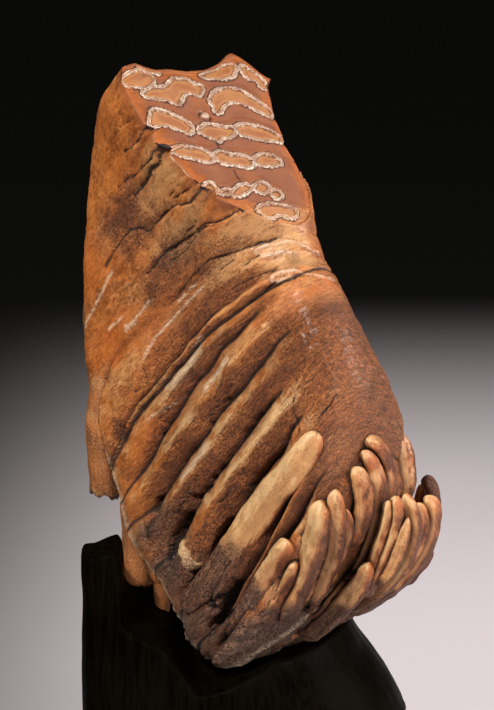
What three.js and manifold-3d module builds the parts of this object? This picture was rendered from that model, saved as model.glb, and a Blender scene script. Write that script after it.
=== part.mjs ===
// A mammoth molar on a carved wooden stand, in millimetres, +Z up.
// The origin is the centre of the stand's underside. The tooth stands on its rear end: the worn
// front end is at the top, the roots point down and back, the chewing side faces +X and -Y.
//
// The crown is a row of flat plates, one behind another, bound by cement. A plate's place in the
// row is its station: 0 at the worn front end, 1 at the last whole plate. Each plate reaches from
// the root line up to the crown line, and across the crown along its width axis.
import * as THREE from "three";
import { mergeVertices } from "three/addons/utils/BufferGeometryUtils.js";
import Module from "manifold-3d";

const wasm = await Module();
wasm.setup();

// ---------- Driving dimensions ----------

const PLATE_COUNT = 15;
const RINGS_PER_PLATE = 3;
const CROWN_SIDES = 28;
const END_RINGS = 3; // rings that close each end of the crown
const FRONT_BULGE = 2;
const REAR_BULGE = 13;
const SEAT_CLEARANCE = 0.4; // left between the tooth and the wood

// The near edge of the plates at the roots and at the chewing side, from the front to the rear.
const ROOT_LINE = [
  [-76, 22, 316],
  [-86, 23, 246],
  [-84, 20, 174],
  [-69, 7, 131],
  [-54, -7, 103],
  [-25, -35, 66],
  [-12, -48, 54],
];
const CROWN_LINE = [
  [-42, -14, 372],
  [-3, -54, 330],
  [10, -49, 271],
  [20, -71, 249],
  [29, -86, 228],
  [35, -93, 198],
  [35, -92, 163],
];
// For the same plates: the width, the turn of the width axis from +X in degrees, and the height
// of a ridge over the groove beside it.
const PLATE_SIZES = [
  [84, 33, 1.5],
  [69, 36, 2.5],
  [66, 39, 3],
  [71, 42, 4],
  [80, 44, 5],
  [92, 45, 6],
  [92, 45, 5],
];

// One plate's outline: up from the root line and across from the near face, as shares of the
// plate's height and width, and the share of the ridge height that shows there.
const PLATE_OUTLINE = [
  [0, 0.08, 0.2],
  [0.15, 0, 0.8],
  [0.45, -0.02, 1],
  [0.8, 0, 1],
  [0.97, 0.12, 0.6],
  [1, 0.34, 0.35],
  [0.93, 0.6, 0.35],
  [0.76, 0.85, 0.7],
  [0.45, 1, 1],
  [0.15, 1, 0.8],
  [0, 0.9, 0.2],
  [-0.03, 0.5, 0],
];

const RIDGE_FULLNESS = 0.6; // below 1 the ridges are broad and the grooves narrow
const RIDGE_MIDDLE = 0.6; // share of the ridge height that lies under the outline

// The plane the tooth is worn down to.
const FACET_POINT = [-56, -1, 344];
const FACET_NORMAL = [0.457, -0.444, 0.77];
const FACET_TURN = 36; // degrees from +X to the facet's across axis
const CUTTER_SIZE = 400;

// Worn plates on the facet: [across, along, length, breadth, bend] in the facet's own plane. Across
// runs to the far side, along runs down the tooth, and bend lifts the middle of the plate.
const WORN_PLATES = [
  [2, 7, 22, 9, 2],
  [18, 15, 34, 12, -5],
  [54, 0, 24, 9, 3],
  [75, 4, 18, 9, -3],
  [55, 22, 40, 13, 5],
  [6, 35, 26, 10, -3],
  [29, 42, 22, 10, 0],
  [55, 43, 32, 10, 2],
  [6, 57, 24, 8, -2],
  [29, 61, 24, 9, 0],
  [50, 63, 20, 8, 0],
  [26, 79, 34, 7, 0],
];
const RIM_HEIGHT = 1;
const RIM_THICKNESS = 1.8;
const RIM_POINTS = 14; // round each plate
const RIM_SINK = 1.5; // into the facet

// Free plate tips, round the rear end of the crown: [x, y, z, radius] from the base to the tip.
const FINGERS = [
  [[-21, -36, 87, 9], [-7, -58, 118, 10], [14, -80, 159, 9], [27, -91, 188, 6]],
  [[-7, -48, 77, 6], [1, -63, 97, 7], [10, -74, 116, 5.5], [17, -81, 132, 4]],
  [[17, -56, 88, 7], [23, -74, 111, 8], [27, -86, 133, 7], [34, -93, 157, 5]],
  [[25, -54, 89, 6], [33, -72, 115, 6], [38, -86, 140, 6], [41, -91, 160, 4]],
  [[30, -50, 90, 5], [39, -70, 117, 5], [44, -81, 138, 5], [46, -85, 150, 3.5]],
  [[38, -44, 93, 6], [49, -64, 120, 6.5], [55, -76, 141, 6], [51, -81, 165, 4]],
  [[45, -38, 99, 6], [57, -58, 130, 6.5], [61, -72, 155, 6], [55, -77, 175, 4]],
  [[55, -30, 107, 6], [65, -54, 144, 6.5], [66, -64, 162, 5.5], [58, -68, 178, 3.5]],
  [[35, -42, 81, 6], [45, -59, 95, 6.5], [52, -69, 110, 5.5], [56, -73, 120, 4]],
  [[51, -30, 83, 6], [60, -48, 104, 6], [66, -63, 132, 5.5], [69, -69, 150, 4]],
  [[57, -22, 83, 7], [69, -40, 103, 7], [76, -53, 126, 6.5], [75, -60, 147, 4.5]],
  [[62, -16, 83, 6], [74, -32, 99, 6], [82, -43, 122, 5.5], [82, -49, 139, 4]],
  [[67, -2, 78, 6], [78, -18, 93, 6], [88, -29, 115, 5.5], [88, -36, 139, 4]],
  [[66, 12, 80, 7], [79, 0, 95, 6], [90, -6, 114, 6], [91, -13, 140, 4]],
  [[56, 16, 84, 7], [69, 8, 101, 6.5], [78, 2, 122, 6], [78, -4, 144, 4]],
  [[49, 24, 90, 7], [59, 16, 108, 7], [66, 9, 130, 6.5], [66, 3, 152, 4]],
];
const FINGER_SIDES = 7;
const FINGER_ROWS = 7;
const FINGER_FACE = [0, -1, 0];

// Broken roots along the root side: [x, y, z, half width] from the crown to the broken end.
const ROOTS = [
  [[-70, 22, 190, 9], [-72, 24, 165, 12], [-72, 25, 142, 12], [-73, 25, 119, 10]],
  [[-56, 5, 125, 13], [-55, 8, 104, 13], [-55, 9, 88, 12], [-56, 9, 72, 10]],
  [[-42, -6, 96, 8], [-41, -5, 84, 8], [-41, -5, 75, 8], [-41, -5, 65, 6]],
  [[6, -30, 72, 7], [10, -33, 66, 7], [14, -34, 61, 6], [17, -34, 56, 4]],
  [[-68, 26, 236, 13], [-72, 34, 220, 13], [-74, 40, 206, 12], [-75, 43, 192, 9]],
  [[-46, 38, 284, 13], [-51, 49, 266, 13], [-55, 56, 250, 12], [-57, 59, 234, 9]],
  [[-28, 50, 256, 13], [-33, 61, 240, 13], [-36, 67, 226, 12], [-37, 70, 211, 9]],
  [[-48, 34, 202, 13], [-52, 46, 184, 13], [-54, 53, 168, 12], [-55, 55, 152, 9]],
  [[-28, 46, 180, 14], [-33, 57, 162, 14], [-35, 63, 146, 12], [-35, 65, 129, 9]],
  [[-34, 22, 148, 14], [-38, 31, 126, 13], [-39, 35, 108, 12], [-39, 36, 91, 9]],
  [[-4, 36, 124, 14], [-6, 43, 106, 13], [-6, 46, 92, 11], [-6, 46, 77, 8]],
  [[-10, 4, 96, 13], [-13, 10, 84, 12], [-15, 13, 75, 10], [-16, 14, 65, 8]],
  [[28, 20, 82, 12], [25, 26, 73, 10], [22, 29, 66, 9], [20, 30, 58, 7]],
];
// A chip that stands up at the front edge of the facet.
const FRONT_CHIP = [
  [-6, 36, 324, 11],
  [-7, 38, 333, 10],
  [-7, 40, 340, 7],
  [-7, 41, 348, 2.5],
];
const ROOT_SIDES = 8;
const ROOT_ROWS = 7;
const ROOT_FLATNESS = 0.72;
const ROOT_FACE = [-0.7, 0.7, 0]; // the way the thin side of a root faces
const END_SHARE = 0.24; // of a rod's length, where its two ends are rounded

// The stand: its outline at the floor and at the top edge, [x, y], round from the front left.
const FOOT_OUTLINE = [
  [-79, -58],
  [-36, -63],
  [14, -62],
  [54, -50],
  [78, -18],
  [85, 22],
  [72, 58],
  [20, 68],
  [-36, 64],
  [-70, 40],
  [-80, -6],
];
const TOP_OUTLINE = [
  [-79, -51],
  [-42, -57],
  [2, -56],
  [26, -36],
  [44, -14],
  [51, 18],
  [44, 46],
  [8, 58],
  [-34, 52],
  [-66, 26],
  [-80, -14],
];

const STAND_SIDES = 36;
const STAND_LEVELS = [
  { height: 120, flare: 0, spread: 0 },
  { height: 120, flare: 0, spread: 1 },
  { height: 60, flare: 0, spread: 1 },
  { height: 42, flare: 0.3, spread: 1 },
  { height: 20, flare: 0.75, spread: 1 },
  { height: 3, flare: 1, spread: 1 },
  { height: 0, flare: 1, spread: 0.97 },
  { height: 0, flare: 1, spread: 0 },
];
// The top of the stand before the seat is cut: heights at the crossings of these x and y lines. A
// post rises at the front left, and a valley runs from front to back under the tooth.
const TOP_X = [-100, -67, -61, -40, -24, -4, 14, 50, 100];
const TOP_Y = [-80, -31, -22, 5, 30, 80];
const TOP_HEIGHTS = [
  [113, 113, 77, 64, 42, 48, 57, 58, 58],
  [117, 116, 78, 65, 42, 48, 57, 58, 58],
  [104, 102, 79, 67, 44, 50, 57, 58, 58],
  [94, 92, 80, 71, 62, 57, 58, 58, 58],
  [88, 87, 86, 86, 82, 74, 64, 58, 58],
  [82, 82, 82, 80, 78, 72, 62, 56, 56],
];
const MOLAR_COLOUR = 0xb8743f;
const STAND_COLOUR = 0x1b1512;
const TOP_CLEAR = 200; // height of the block that is cut away over the top

// ---------- Solids and curves ----------

function solidFrom(geometry) {
  const bare = new THREE.BufferGeometry();
  const faces = geometry.index ? geometry.toNonIndexed() : geometry;
  bare.setAttribute("position", faces.getAttribute("position"));
  const merged = mergeVertices(bare, 1e-3);
  return new wasm.Manifold(
    new wasm.Mesh({
      numProp: 3,
      vertProperties: new Float32Array(merged.getAttribute("position").array),
      triVerts: new Uint32Array(merged.index.array),
    }),
  );
}

function geometryFrom(solid) {
  const { vertProperties, triVerts, numProp } = solid.getMesh();
  const geometry = new THREE.BufferGeometry();
  geometry.setAttribute("position", new THREE.BufferAttribute(vertProperties, numProp));
  geometry.setIndex(new THREE.BufferAttribute(triVerts, 1));
  return geometry.toNonIndexed();
}

// The outside of a solid, with the pockets sealed inside it filled.
const largestBody = (solid) =>
  solid.decompose().reduce((best, body) => (body.volume() > best.volume() ? body : best));

// Moves every vertex of a sphere to pointAt(row, turn): rows run from one pole to the other, and
// turn goes once round, from 0 to 1.
function reshapedSphere(sides, rows, pointAt) {
  const geometry = new THREE.SphereGeometry(1, sides, rows);
  const { position, uv } = geometry.attributes;
  for (let i = 0; i < position.count; i++) {
    const row = Math.round((1 - uv.getY(i)) * rows);
    position.setXYZ(i, ...pointAt(row, uv.getX(i) % 1).toArray());
  }
  return solidFrom(geometry);
}

const vectors = (points) => points.map(([x, y, z]) => new THREE.Vector3(x, y, z));
const curveThrough = (points, closed = false) =>
  new THREE.CatmullRomCurve3(vectors(points), closed, "catmullrom", 0.5);

// ---------- Crown ----------

const rootLine = curveThrough(ROOT_LINE);
const crownLine = curveThrough(CROWN_LINE);
const plateSizes = curveThrough(PLATE_SIZES);
const plateOutline = curveThrough(PLATE_OUTLINE, true);

function plateAt(station) {
  const sizes = plateSizes.getPoint(station);
  const turn = THREE.MathUtils.degToRad(sizes.y);
  const origin = rootLine.getPoint(station);
  const upward = crownLine.getPoint(station).sub(origin);
  const across = new THREE.Vector3(Math.cos(turn), Math.sin(turn), 0).multiplyScalar(sizes.x);
  const forward = upward.clone().cross(across).normalize();
  const centre = origin.clone().addScaledVector(upward, 0.5).addScaledVector(across, 0.5);
  return { origin, upward, across, forward, centre, ridgeHeight: sizes.z };
}

// A point of the plate's outline, moved outwards in the plate's plane by ridge and growth.
function outlinePoint(plate, turn, ridge, growth) {
  const place = plateOutline.getPoint(turn);
  const tangent = plateOutline.getTangent(turn);
  const along = plate.upward.clone().multiplyScalar(tangent.x);
  along.addScaledVector(plate.across, tangent.y);
  const outward = along.cross(plate.forward).normalize();
  return plate.origin
    .clone()
    .addScaledVector(plate.upward, place.x)
    .addScaledVector(plate.across, place.y)
    .addScaledVector(outward, ridge * plate.ridgeHeight * place.z + growth);
}

// Ridges stand over the plates and grooves lie between them.
const ridgeAt = (station) =>
  Math.abs(Math.sin(Math.PI * PLATE_COUNT * station)) ** RIDGE_FULLNESS - RIDGE_MIDDLE;

function crownSolid(ridgeFor, growth) {
  const bodyRows = PLATE_COUNT * RINGS_PER_PLATE;
  return reshapedSphere(CROWN_SIDES, bodyRows + 2 * END_RINGS, (row, turn) => {
    const station = THREE.MathUtils.clamp((row - END_RINGS) / bodyRows, 0, 1);
    const past = Math.max(END_RINGS - row, row - END_RINGS - bodyRows, 0);
    const angle = (past / END_RINGS) * (Math.PI / 2);
    const bulge = Math.sin(angle) * (row < END_RINGS ? FRONT_BULGE : -REAR_BULGE);
    const plate = plateAt(station);
    const edge = outlinePoint(plate, turn, ridgeFor(station), growth);
    return plate.centre.clone().lerp(edge, Math.cos(angle)).addScaledVector(plate.forward, bulge);
  });
}

// ---------- Facet ----------

// The facet's own frame: x across the tooth, y down along it, z out of the tooth.
function facetFrame() {
  const out = new THREE.Vector3(...FACET_NORMAL).normalize();
  const turn = THREE.MathUtils.degToRad(FACET_TURN);
  const across = new THREE.Vector3(Math.cos(turn), Math.sin(turn), 0).projectOnPlane(out).normalize();
  const along = out.clone().cross(across);
  return new THREE.Matrix4().makeBasis(across, along, out).setPosition(...FACET_POINT);
}
const facet = facetFrame();

function wornDown(solid) {
  const above = new THREE.BoxGeometry(CUTTER_SIZE, CUTTER_SIZE, CUTTER_SIZE);
  above.translate(0, 0, CUTTER_SIZE / 2).applyMatrix4(facet);
  return solid.subtract(solidFrom(above));
}

function ovalPoints(length, breadth, bend) {
  return Array.from({ length: RIM_POINTS }, (_, i) => {
    const angle = (i / RIM_POINTS) * 2 * Math.PI;
    const x = (length / 2) * Math.cos(angle);
    const lift = bend * (1 - 2 * (x / (length / 2)) ** 2);
    return new THREE.Vector2(x, (breadth / 2) * Math.sin(angle) - lift / 2);
  });
}

function enamelRim([across, along, length, breadth, bend]) {
  const shape = new THREE.Shape(ovalPoints(length, breadth, bend));
  const inner = ovalPoints(length - 2 * RIM_THICKNESS, breadth - 2 * RIM_THICKNESS, bend);
  shape.holes.push(new THREE.Path(inner));
  const rim = new THREE.ExtrudeGeometry(shape, { depth: RIM_HEIGHT + RIM_SINK, bevelEnabled: false });
  rim.translate(across, -along, -RIM_SINK);
  return solidFrom(rim.applyMatrix4(facet));
}

// ---------- Fingers and roots ----------

// A tapered rod through points of [x, y, z, radius], rounded at both ends. It is flatter across
// its second axis when flatness is below 1.
function bentRod(points, sides, rows, flatness, side) {
  const spine = curveThrough(points);
  const girth = curveThrough(points.map(([, , , radius]) => [radius, 0, 0]));
  return reshapedSphere(sides, rows, (row, turn) => {
    const share = (1 - Math.cos((Math.PI * row) / rows)) / 2; // closer rows at the ends
    const end = Math.max(Math.abs(2 * share - 1) - 1 + END_SHARE, 0) / END_SHARE;
    const radius = girth.getPoint(share).x * Math.sqrt(1 - end * end);
    const tangent = spine.getTangent(share);
    const wide = new THREE.Vector3(...side).cross(tangent).normalize();
    const thin = wide.clone().cross(tangent);
    const angle = turn * 2 * Math.PI;
    return spine
      .getPoint(share)
      .addScaledVector(wide, radius * Math.cos(angle))
      .addScaledVector(thin, radius * flatness * Math.sin(angle));
  });
}

const finger = (points) => bentRod(points, FINGER_SIDES, FINGER_ROWS, 1, FINGER_FACE);
const rootAt = (points, growth) =>
  bentRod(
    points.map(([x, y, z, radius]) => [x, y, z, radius + growth]),
    ROOT_SIDES,
    ROOT_ROWS,
    ROOT_FLATNESS,
    ROOT_FACE,
  );

function molarSolid() {
  const rods = [...FINGERS.map(finger), ...ROOTS.map((points) => rootAt(points, 0))];
  const chip = finger(FRONT_CHIP);
  const whole = crownSolid(ridgeAt, 0);
  const rims = WORN_PLATES.map((plate) => enamelRim(plate).intersect(whole));
  const worn = wornDown(whole);
  const pieces = [...rims, ...rods, chip];
  return largestBody(pieces.reduce((solid, piece) => solid.add(piece), worn));
}

// ---------- Stand ----------

const footOutline = curveThrough(FOOT_OUTLINE.map(([x, y]) => [x, y, 0]), true);
const topOutline = curveThrough(TOP_OUTLINE.map(([x, y]) => [x, y, 0]), true);

function standBlock() {
  return reshapedSphere(STAND_SIDES, STAND_LEVELS.length - 1, (row, turn) => {
    const { height, flare, spread } = STAND_LEVELS[row];
    const edge = topOutline.getPoint(turn).lerp(footOutline.getPoint(turn), flare);
    return edge.multiplyScalar(spread).setZ(height);
  });
}

// A block whose underside is the top of the stand.
function overTop() {
  const block = new THREE.BoxGeometry(1, 1, 1, TOP_X.length - 1, TOP_Y.length - 1, 1);
  const { position } = block.attributes;
  for (let i = 0; i < position.count; i++) {
    const column = Math.round((position.getX(i) + 0.5) * (TOP_X.length - 1));
    const line = Math.round((position.getY(i) + 0.5) * (TOP_Y.length - 1));
    const height = position.getZ(i) > 0 ? TOP_CLEAR : TOP_HEIGHTS[line][column];
    position.setXYZ(i, TOP_X[column], TOP_Y[line], height);
  }
  return solidFrom(block);
}

// The room the tooth takes in the stand: its crown with the grooves filled, and its roots.
function seatRoom() {
  const filled = crownSolid(() => 1 - RIDGE_MIDDLE, SEAT_CLEARANCE);
  return ROOTS.map((points) => rootAt(points, SEAT_CLEARANCE)).reduce(
    (solid, piece) => solid.add(piece),
    filled,
  );
}

const standSolid = () => largestBody(standBlock().subtract(overTop()).subtract(seatRoom()));

// ---------- The part ----------

const group = new THREE.Group();
for (const [name, solid, colour] of [
  ["molar", molarSolid(), MOLAR_COLOUR],
  ["stand", standSolid(), STAND_COLOUR],
]) {
  const mesh = new THREE.Mesh(
    geometryFrom(solid),
    new THREE.MeshStandardMaterial({ color: colour, roughness: 0.6, flatShading: true }),
  );
  mesh.name = name;
  group.add(mesh);
}

export default group;
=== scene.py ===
# %% [markdown]
# # A mammoth molar on a wooden stand
# A mammoth's cheek tooth is a row of upright plates, bound together by cement and worn flat at one
# end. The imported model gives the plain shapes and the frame. This lesson builds the looks over it:
# the folded crown, the worn face with its enamel loops, the free plate tips, the broken roots and
# the dark stand.

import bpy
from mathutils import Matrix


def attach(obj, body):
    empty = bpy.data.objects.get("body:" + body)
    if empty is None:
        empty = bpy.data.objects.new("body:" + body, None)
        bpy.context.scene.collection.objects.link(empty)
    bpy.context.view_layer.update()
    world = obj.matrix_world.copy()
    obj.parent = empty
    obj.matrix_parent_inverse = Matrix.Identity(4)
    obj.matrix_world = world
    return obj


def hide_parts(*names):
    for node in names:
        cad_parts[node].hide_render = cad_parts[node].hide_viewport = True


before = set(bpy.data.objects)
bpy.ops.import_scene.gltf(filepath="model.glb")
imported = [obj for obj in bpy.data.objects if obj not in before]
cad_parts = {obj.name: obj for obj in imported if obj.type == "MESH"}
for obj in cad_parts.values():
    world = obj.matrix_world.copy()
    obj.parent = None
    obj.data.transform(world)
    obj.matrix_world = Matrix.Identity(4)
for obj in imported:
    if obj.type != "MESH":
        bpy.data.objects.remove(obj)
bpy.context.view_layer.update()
print("pieces to dress:", sorted(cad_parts))

# %% [markdown]
# ## The camera
# The camera comes first, because every later choice is judged through it. It looks a little down on
# the tooth from the front, from far enough away that the plates hardly converge.

# %% The camera
import math
import bpy
import numpy as np
from mathutils import Vector, noise
from mathutils.kdtree import KDTree
from mathutils.bvhtree import BVHTree

CAMERA_TILT = 15  # degrees down
CAMERA_DISTANCE = 1.1
LOOK_HEIGHT = 0.201
LENS = 111.5

tilt = math.radians(CAMERA_TILT)
eye = (0, -CAMERA_DISTANCE * math.cos(tilt), LOOK_HEIGHT + CAMERA_DISTANCE * math.sin(tilt))
bpy.ops.object.camera_add(location=eye, rotation=(math.pi / 2 - tilt, 0, 0))
camera = bpy.context.object
camera.data.lens = LENS
bpy.context.scene.camera = camera
print("camera at", [round(c, 3) for c in eye])

# %% [markdown]
# ## Helpers for measured shapes
# A tooth has no straight line in it. All its main lines are smooth curves through a few points, in
# millimetres, so one helper draws such a curve and the rest of the lesson is built on it.

# %% Curves and small helpers
MM = 0.001


def curve_at(points, share, closed=False):
    """Places on a smooth curve through the points, at shares of its length from 0 to 1."""
    points = np.asarray(points, float)
    count = len(points)
    place = np.asarray(share, float) * (count if closed else count - 1)
    first = np.floor(place).astype(int)
    if closed:
        pick = points[(first[..., None] + np.arange(-1, 3)) % count]
    else:
        first = np.clip(first, 0, count - 2)
        ends = 2 * points[0] - points[1], 2 * points[-1] - points[-2]
        pick = np.vstack([ends[0], points, ends[1]])[first[..., None] + np.arange(4)]
    f = (place - first)[..., None]
    a, b, c, d = (pick[..., i, :] for i in range(4))
    return b + 0.5 * f * (c - a + f * (2 * a - 5 * b + 4 * c - d + f * (3 * (b - c) + d - a)))


def unit(vectors):
    return vectors / (np.linalg.norm(vectors, axis=-1, keepdims=True) + 1e-12)


def smooth(low, high, value):
    """Rises from 0 at low to 1 at high, with soft ends. It falls where high is under low."""
    share = np.clip((value - low) / (high - low), 0, 1)
    return share * share * (3 - 2 * share)


def hump(distance, width):
    """1 at distance 0, about a third at the width, and nearly 0 at twice the width."""
    return np.exp(-((distance / width) ** 2))


def grain(points, size, octaves=1, shift=0.0):
    """Smooth noise of -1 to 1 at each point, with lumps of about the given size in millimetres."""
    flat = (np.asarray(points, float) / size + shift).reshape(-1, 3)
    total = np.zeros(len(flat))
    for octave in range(octaves):
        scaled = flat * 2**octave
        total += np.array([noise.noise(Vector(p)) for p in scaled]) / 2**octave
    return total.reshape(np.shape(points)[:-1])


def select_only(*pieces):
    bpy.ops.object.select_all(action="DESELECT")
    for piece in pieces:
        piece.select_set(True)
    bpy.context.view_layer.objects.active = pieces[0]


def vectors_of(piece, kind):
    """One kind of vector of each vertex of a piece: its place, "co", in metres, or its "normal"."""
    vectors = np.empty(len(piece.data.vertices) * 3)
    piece.data.vertices.foreach_get(kind, vectors)
    return vectors.reshape(-1, 3)


def place_of(piece):
    """The places of a piece's vertices, in millimetres."""
    return vectors_of(piece, "co") / MM


def set_place(piece, places):
    piece.data.vertices.foreach_set("co", (np.asarray(places) * MM).ravel())
    piece.data.update()


def store(piece, name, values):
    """Keeps one number for each vertex, for the materials to read."""
    kept = piece.data.attributes.get(name) or piece.data.attributes.new(name, "FLOAT", "POINT")
    kept.data.foreach_set("value", np.asarray(values, float).ravel())


def store_flow(piece, places):
    """Keeps each vertex's place in the growth of the tooth: across the fibres, along them, across."""
    flow = piece.data.attributes.new("flow", "FLOAT_VECTOR", "POINT")
    flow.data.foreach_set("vector", (np.asarray(places) * MM).ravel())


def read(piece, name):
    values = np.empty(len(piece.data.vertices))
    piece.data.attributes[name].data.foreach_get("value", values)
    return values


def select_faces(piece, chosen):
    """Selects the faces whose points are all chosen, and leaves the piece in edit mode."""
    select_only(piece)
    bpy.ops.object.mode_set(mode="EDIT")
    bpy.ops.mesh.select_mode(type="FACE")
    bpy.ops.mesh.select_all(action="DESELECT")
    bpy.ops.object.mode_set(mode="OBJECT")
    piece.data.polygons.foreach_set("select", [
        all(chosen[v] for v in face.vertices) for face in piece.data.polygons
    ])
    bpy.ops.object.mode_set(mode="EDIT")


def close_shell(piece, merge=None):
    """Merges points that lie within merge metres, and turns every face outward."""
    select_only(piece)
    bpy.ops.object.mode_set(mode="EDIT")
    bpy.ops.mesh.select_all(action="SELECT")
    if merge:
        bpy.ops.mesh.remove_doubles(threshold=merge)
    bpy.ops.mesh.normals_make_consistent(inside=False)
    bpy.ops.object.mode_set(mode="OBJECT")
    bpy.ops.object.shade_smooth()


bpy.ops.object.select_all(action="DESELECT")
print("helpers ready")

# %% [markdown]
# ## The lines of the crown
# A plate is a flat slab of tooth. Its near edge runs from the root line up to the crown line, and
# its outline is one closed curve. The stations run from 0 at the worn front end, at the top, to 1 at
# the last whole plate, at the bottom. These are the same driving values as the plain model has, so
# the dressed tooth lies on it without any fitting.

# %% The driving lines
PLATE_COUNT = 15
ROOT_LINE = [
    (-76, 22, 316), (-86, 23, 246), (-84, 20, 174), (-69, 7, 131),
    (-54, -7, 103), (-25, -35, 66), (-12, -48, 54),
]
CROWN_LINE = [
    (-42, -14, 372), (-3, -54, 330), (10, -49, 271), (20, -71, 249),
    (29, -86, 228), (35, -93, 198), (35, -92, 163),
]
# Width, turn of the width axis in degrees, and height of a ridge over its groove.
PLATE_SIZES = [
    (84, 33, 1.5), (69, 36, 2.5), (66, 39, 3), (71, 42, 4),
    (80, 44, 5), (92, 45, 6), (92, 45, 5),
]
# Up from the root line, across from the near face, and share of the ridge that shows there.
PLATE_OUTLINE = [
    (0, 0.08, 0.2), (0.15, 0, 0.8), (0.45, -0.02, 1), (0.8, 0, 1), (0.97, 0.12, 0.6),
    (1, 0.34, 0.35), (0.93, 0.6, 0.35), (0.76, 0.85, 0.7), (0.45, 1, 1), (0.15, 1, 0.8),
    (0, 0.9, 0.2), (-0.03, 0.5, 0),
]
NEAR_SHOULDER = 4 / 12  # turn of the outline where the near side meets the chewing side
FAR_SHOULDER = 7 / 12
FAR_ROOT = 10 / 12


def plate_at(station):
    """A plate's root corner, its upward and across vectors, and its ridge height."""
    origin = curve_at(ROOT_LINE, station)
    upward = curve_at(CROWN_LINE, station) - origin
    sizes = curve_at(PLATE_SIZES, station)
    turn = np.radians(sizes[..., 1])
    across = np.stack([np.cos(turn), np.sin(turn), 0 * turn], -1) * sizes[..., :1]
    return origin, upward, across, sizes[..., 2]


def outline_at(station, turn):
    """A point on a plate's outline, the way out of the tooth there, and its place in the plate."""
    origin, upward, across, _ = plate_at(station)
    place = curve_at(PLATE_OUTLINE, turn, closed=True)
    step = curve_at(PLATE_OUTLINE, turn + 0.001, True) - curve_at(PLATE_OUTLINE, turn - 0.001, True)
    point = origin + upward * place[..., :1] + across * place[..., 1:2]
    along = upward * step[..., :1] + across * step[..., 1:2]
    return point, unit(np.cross(along, unit(np.cross(upward, across)))), place


# The worn face: its plane, and its own across and down directions.
FACE_POINT = np.array([-56, -1, 344.0])
FACE_OUT = unit(np.array([0.457, -0.444, 0.77]))
FACE_TURN = math.radians(36)
flat_across = np.array([math.cos(FACE_TURN), math.sin(FACE_TURN), 0])
FACE_ACROSS = unit(flat_across - flat_across @ FACE_OUT * FACE_OUT)
FACE_DOWN = np.cross(FACE_ACROSS, FACE_OUT)
FACE_DOWN *= -np.sign(FACE_DOWN[2])
print("worn face runs down along", FACE_DOWN.round(2))

# %% [markdown]
# ## Grooves
# Between two plates runs a groove. Near the worn face the plates are pressed together, so a groove
# is only a crack. Lower down they part, and the ridges become round and deep. Each groove is a row
# of numbers: where it lies at the roots, half way up and at the crown, counted in plates, and how
# deep its valley and its crack are there.

# %% The grooves
# Place, valley depth and crack depth, each at root, middle and crown, and the top end (share up).
GROOVES = [
    (1.2, 1.6, 1.75, 0.4, 0.8, 1.0, 0, 0.1, 0.2, 2),
    (2.2, 2.3, 2.15, 0.8, 1.2, 1.4, 0, 0.1, 0.3, 2),
    (3.2, 3.1, 3.35, 1.2, 1.2, 1.2, 0, 0.1, 0.3, 2),
    (4.4, 3.8, 4.1, 2.0, 1.2, 0.9, 0.4, 0.1, 0.1, 2),
    (5.2, 4.6, 5.0, 3.0, 1.6, 1.0, 0.8, 0.4, 0.1, 2),
    (6.9, 5.9, 5.9, 3.4, 2.8, 1.2, 1.0, 1.0, 0.4, 2),
    (7.05, 6.25, 6.6, 3.6, 3.0, 1.2, 1.0, 1.0, 1.4, 2),
    (8.4, 7.2, 7.1, 4.5, 5.0, 1.4, 1.2, 1.6, 1.0, 0.86),
    (9.6, 8.95, 8.6, 6.5, 6.0, 2.5, 1.2, 1.8, 0.5, 0.95),
    (10.9, 10.3, 10.4, 8.0, 8.0, 5, 1.0, 2.0, 1.0, 0.83),
    (12.1, 11.45, 11.8, 8.0, 8.5, 6, 1.0, 2.0, 1.5, 0.87),
    (13.4, 13.3, 13.0, 9.0, 9.0, 6, 1.0, 1.6, 1.5, 0.90),
    (14.6, 14.5, 14.3, 6.0, 8.0, 6, 0.5, 1.2, 1.0, 0.95),
]
CRACK_WIDTH = 1.3
CREST_SHARE = 0.4  # of the ridge height, how far a crest stands over the outline
WANDER = (22, 0.16)  # size in millimetres, and how far a groove strays, in plates
TREMBLE = (7, 0.05)

STATIONS = 600
fine_stations = np.linspace(0, 1, STATIONS + 1)
root_speed = np.linalg.norm(np.gradient(curve_at(ROOT_LINE, fine_stations), axis=0), axis=1)
crown_speed = np.linalg.norm(np.gradient(curve_at(CROWN_LINE, fine_stations), axis=0), axis=1)
plate_step = STATIONS / PLATE_COUNT


def through_three(low, middle, high, share):
    """A value that is low at share 0, middle at half and high at 1, changing smoothly."""
    share = np.clip(share, -0.1, 1.1)
    return low + share * (4 * middle - 3 * low - high) + 2 * share**2 * (low + high - 2 * middle)


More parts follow.
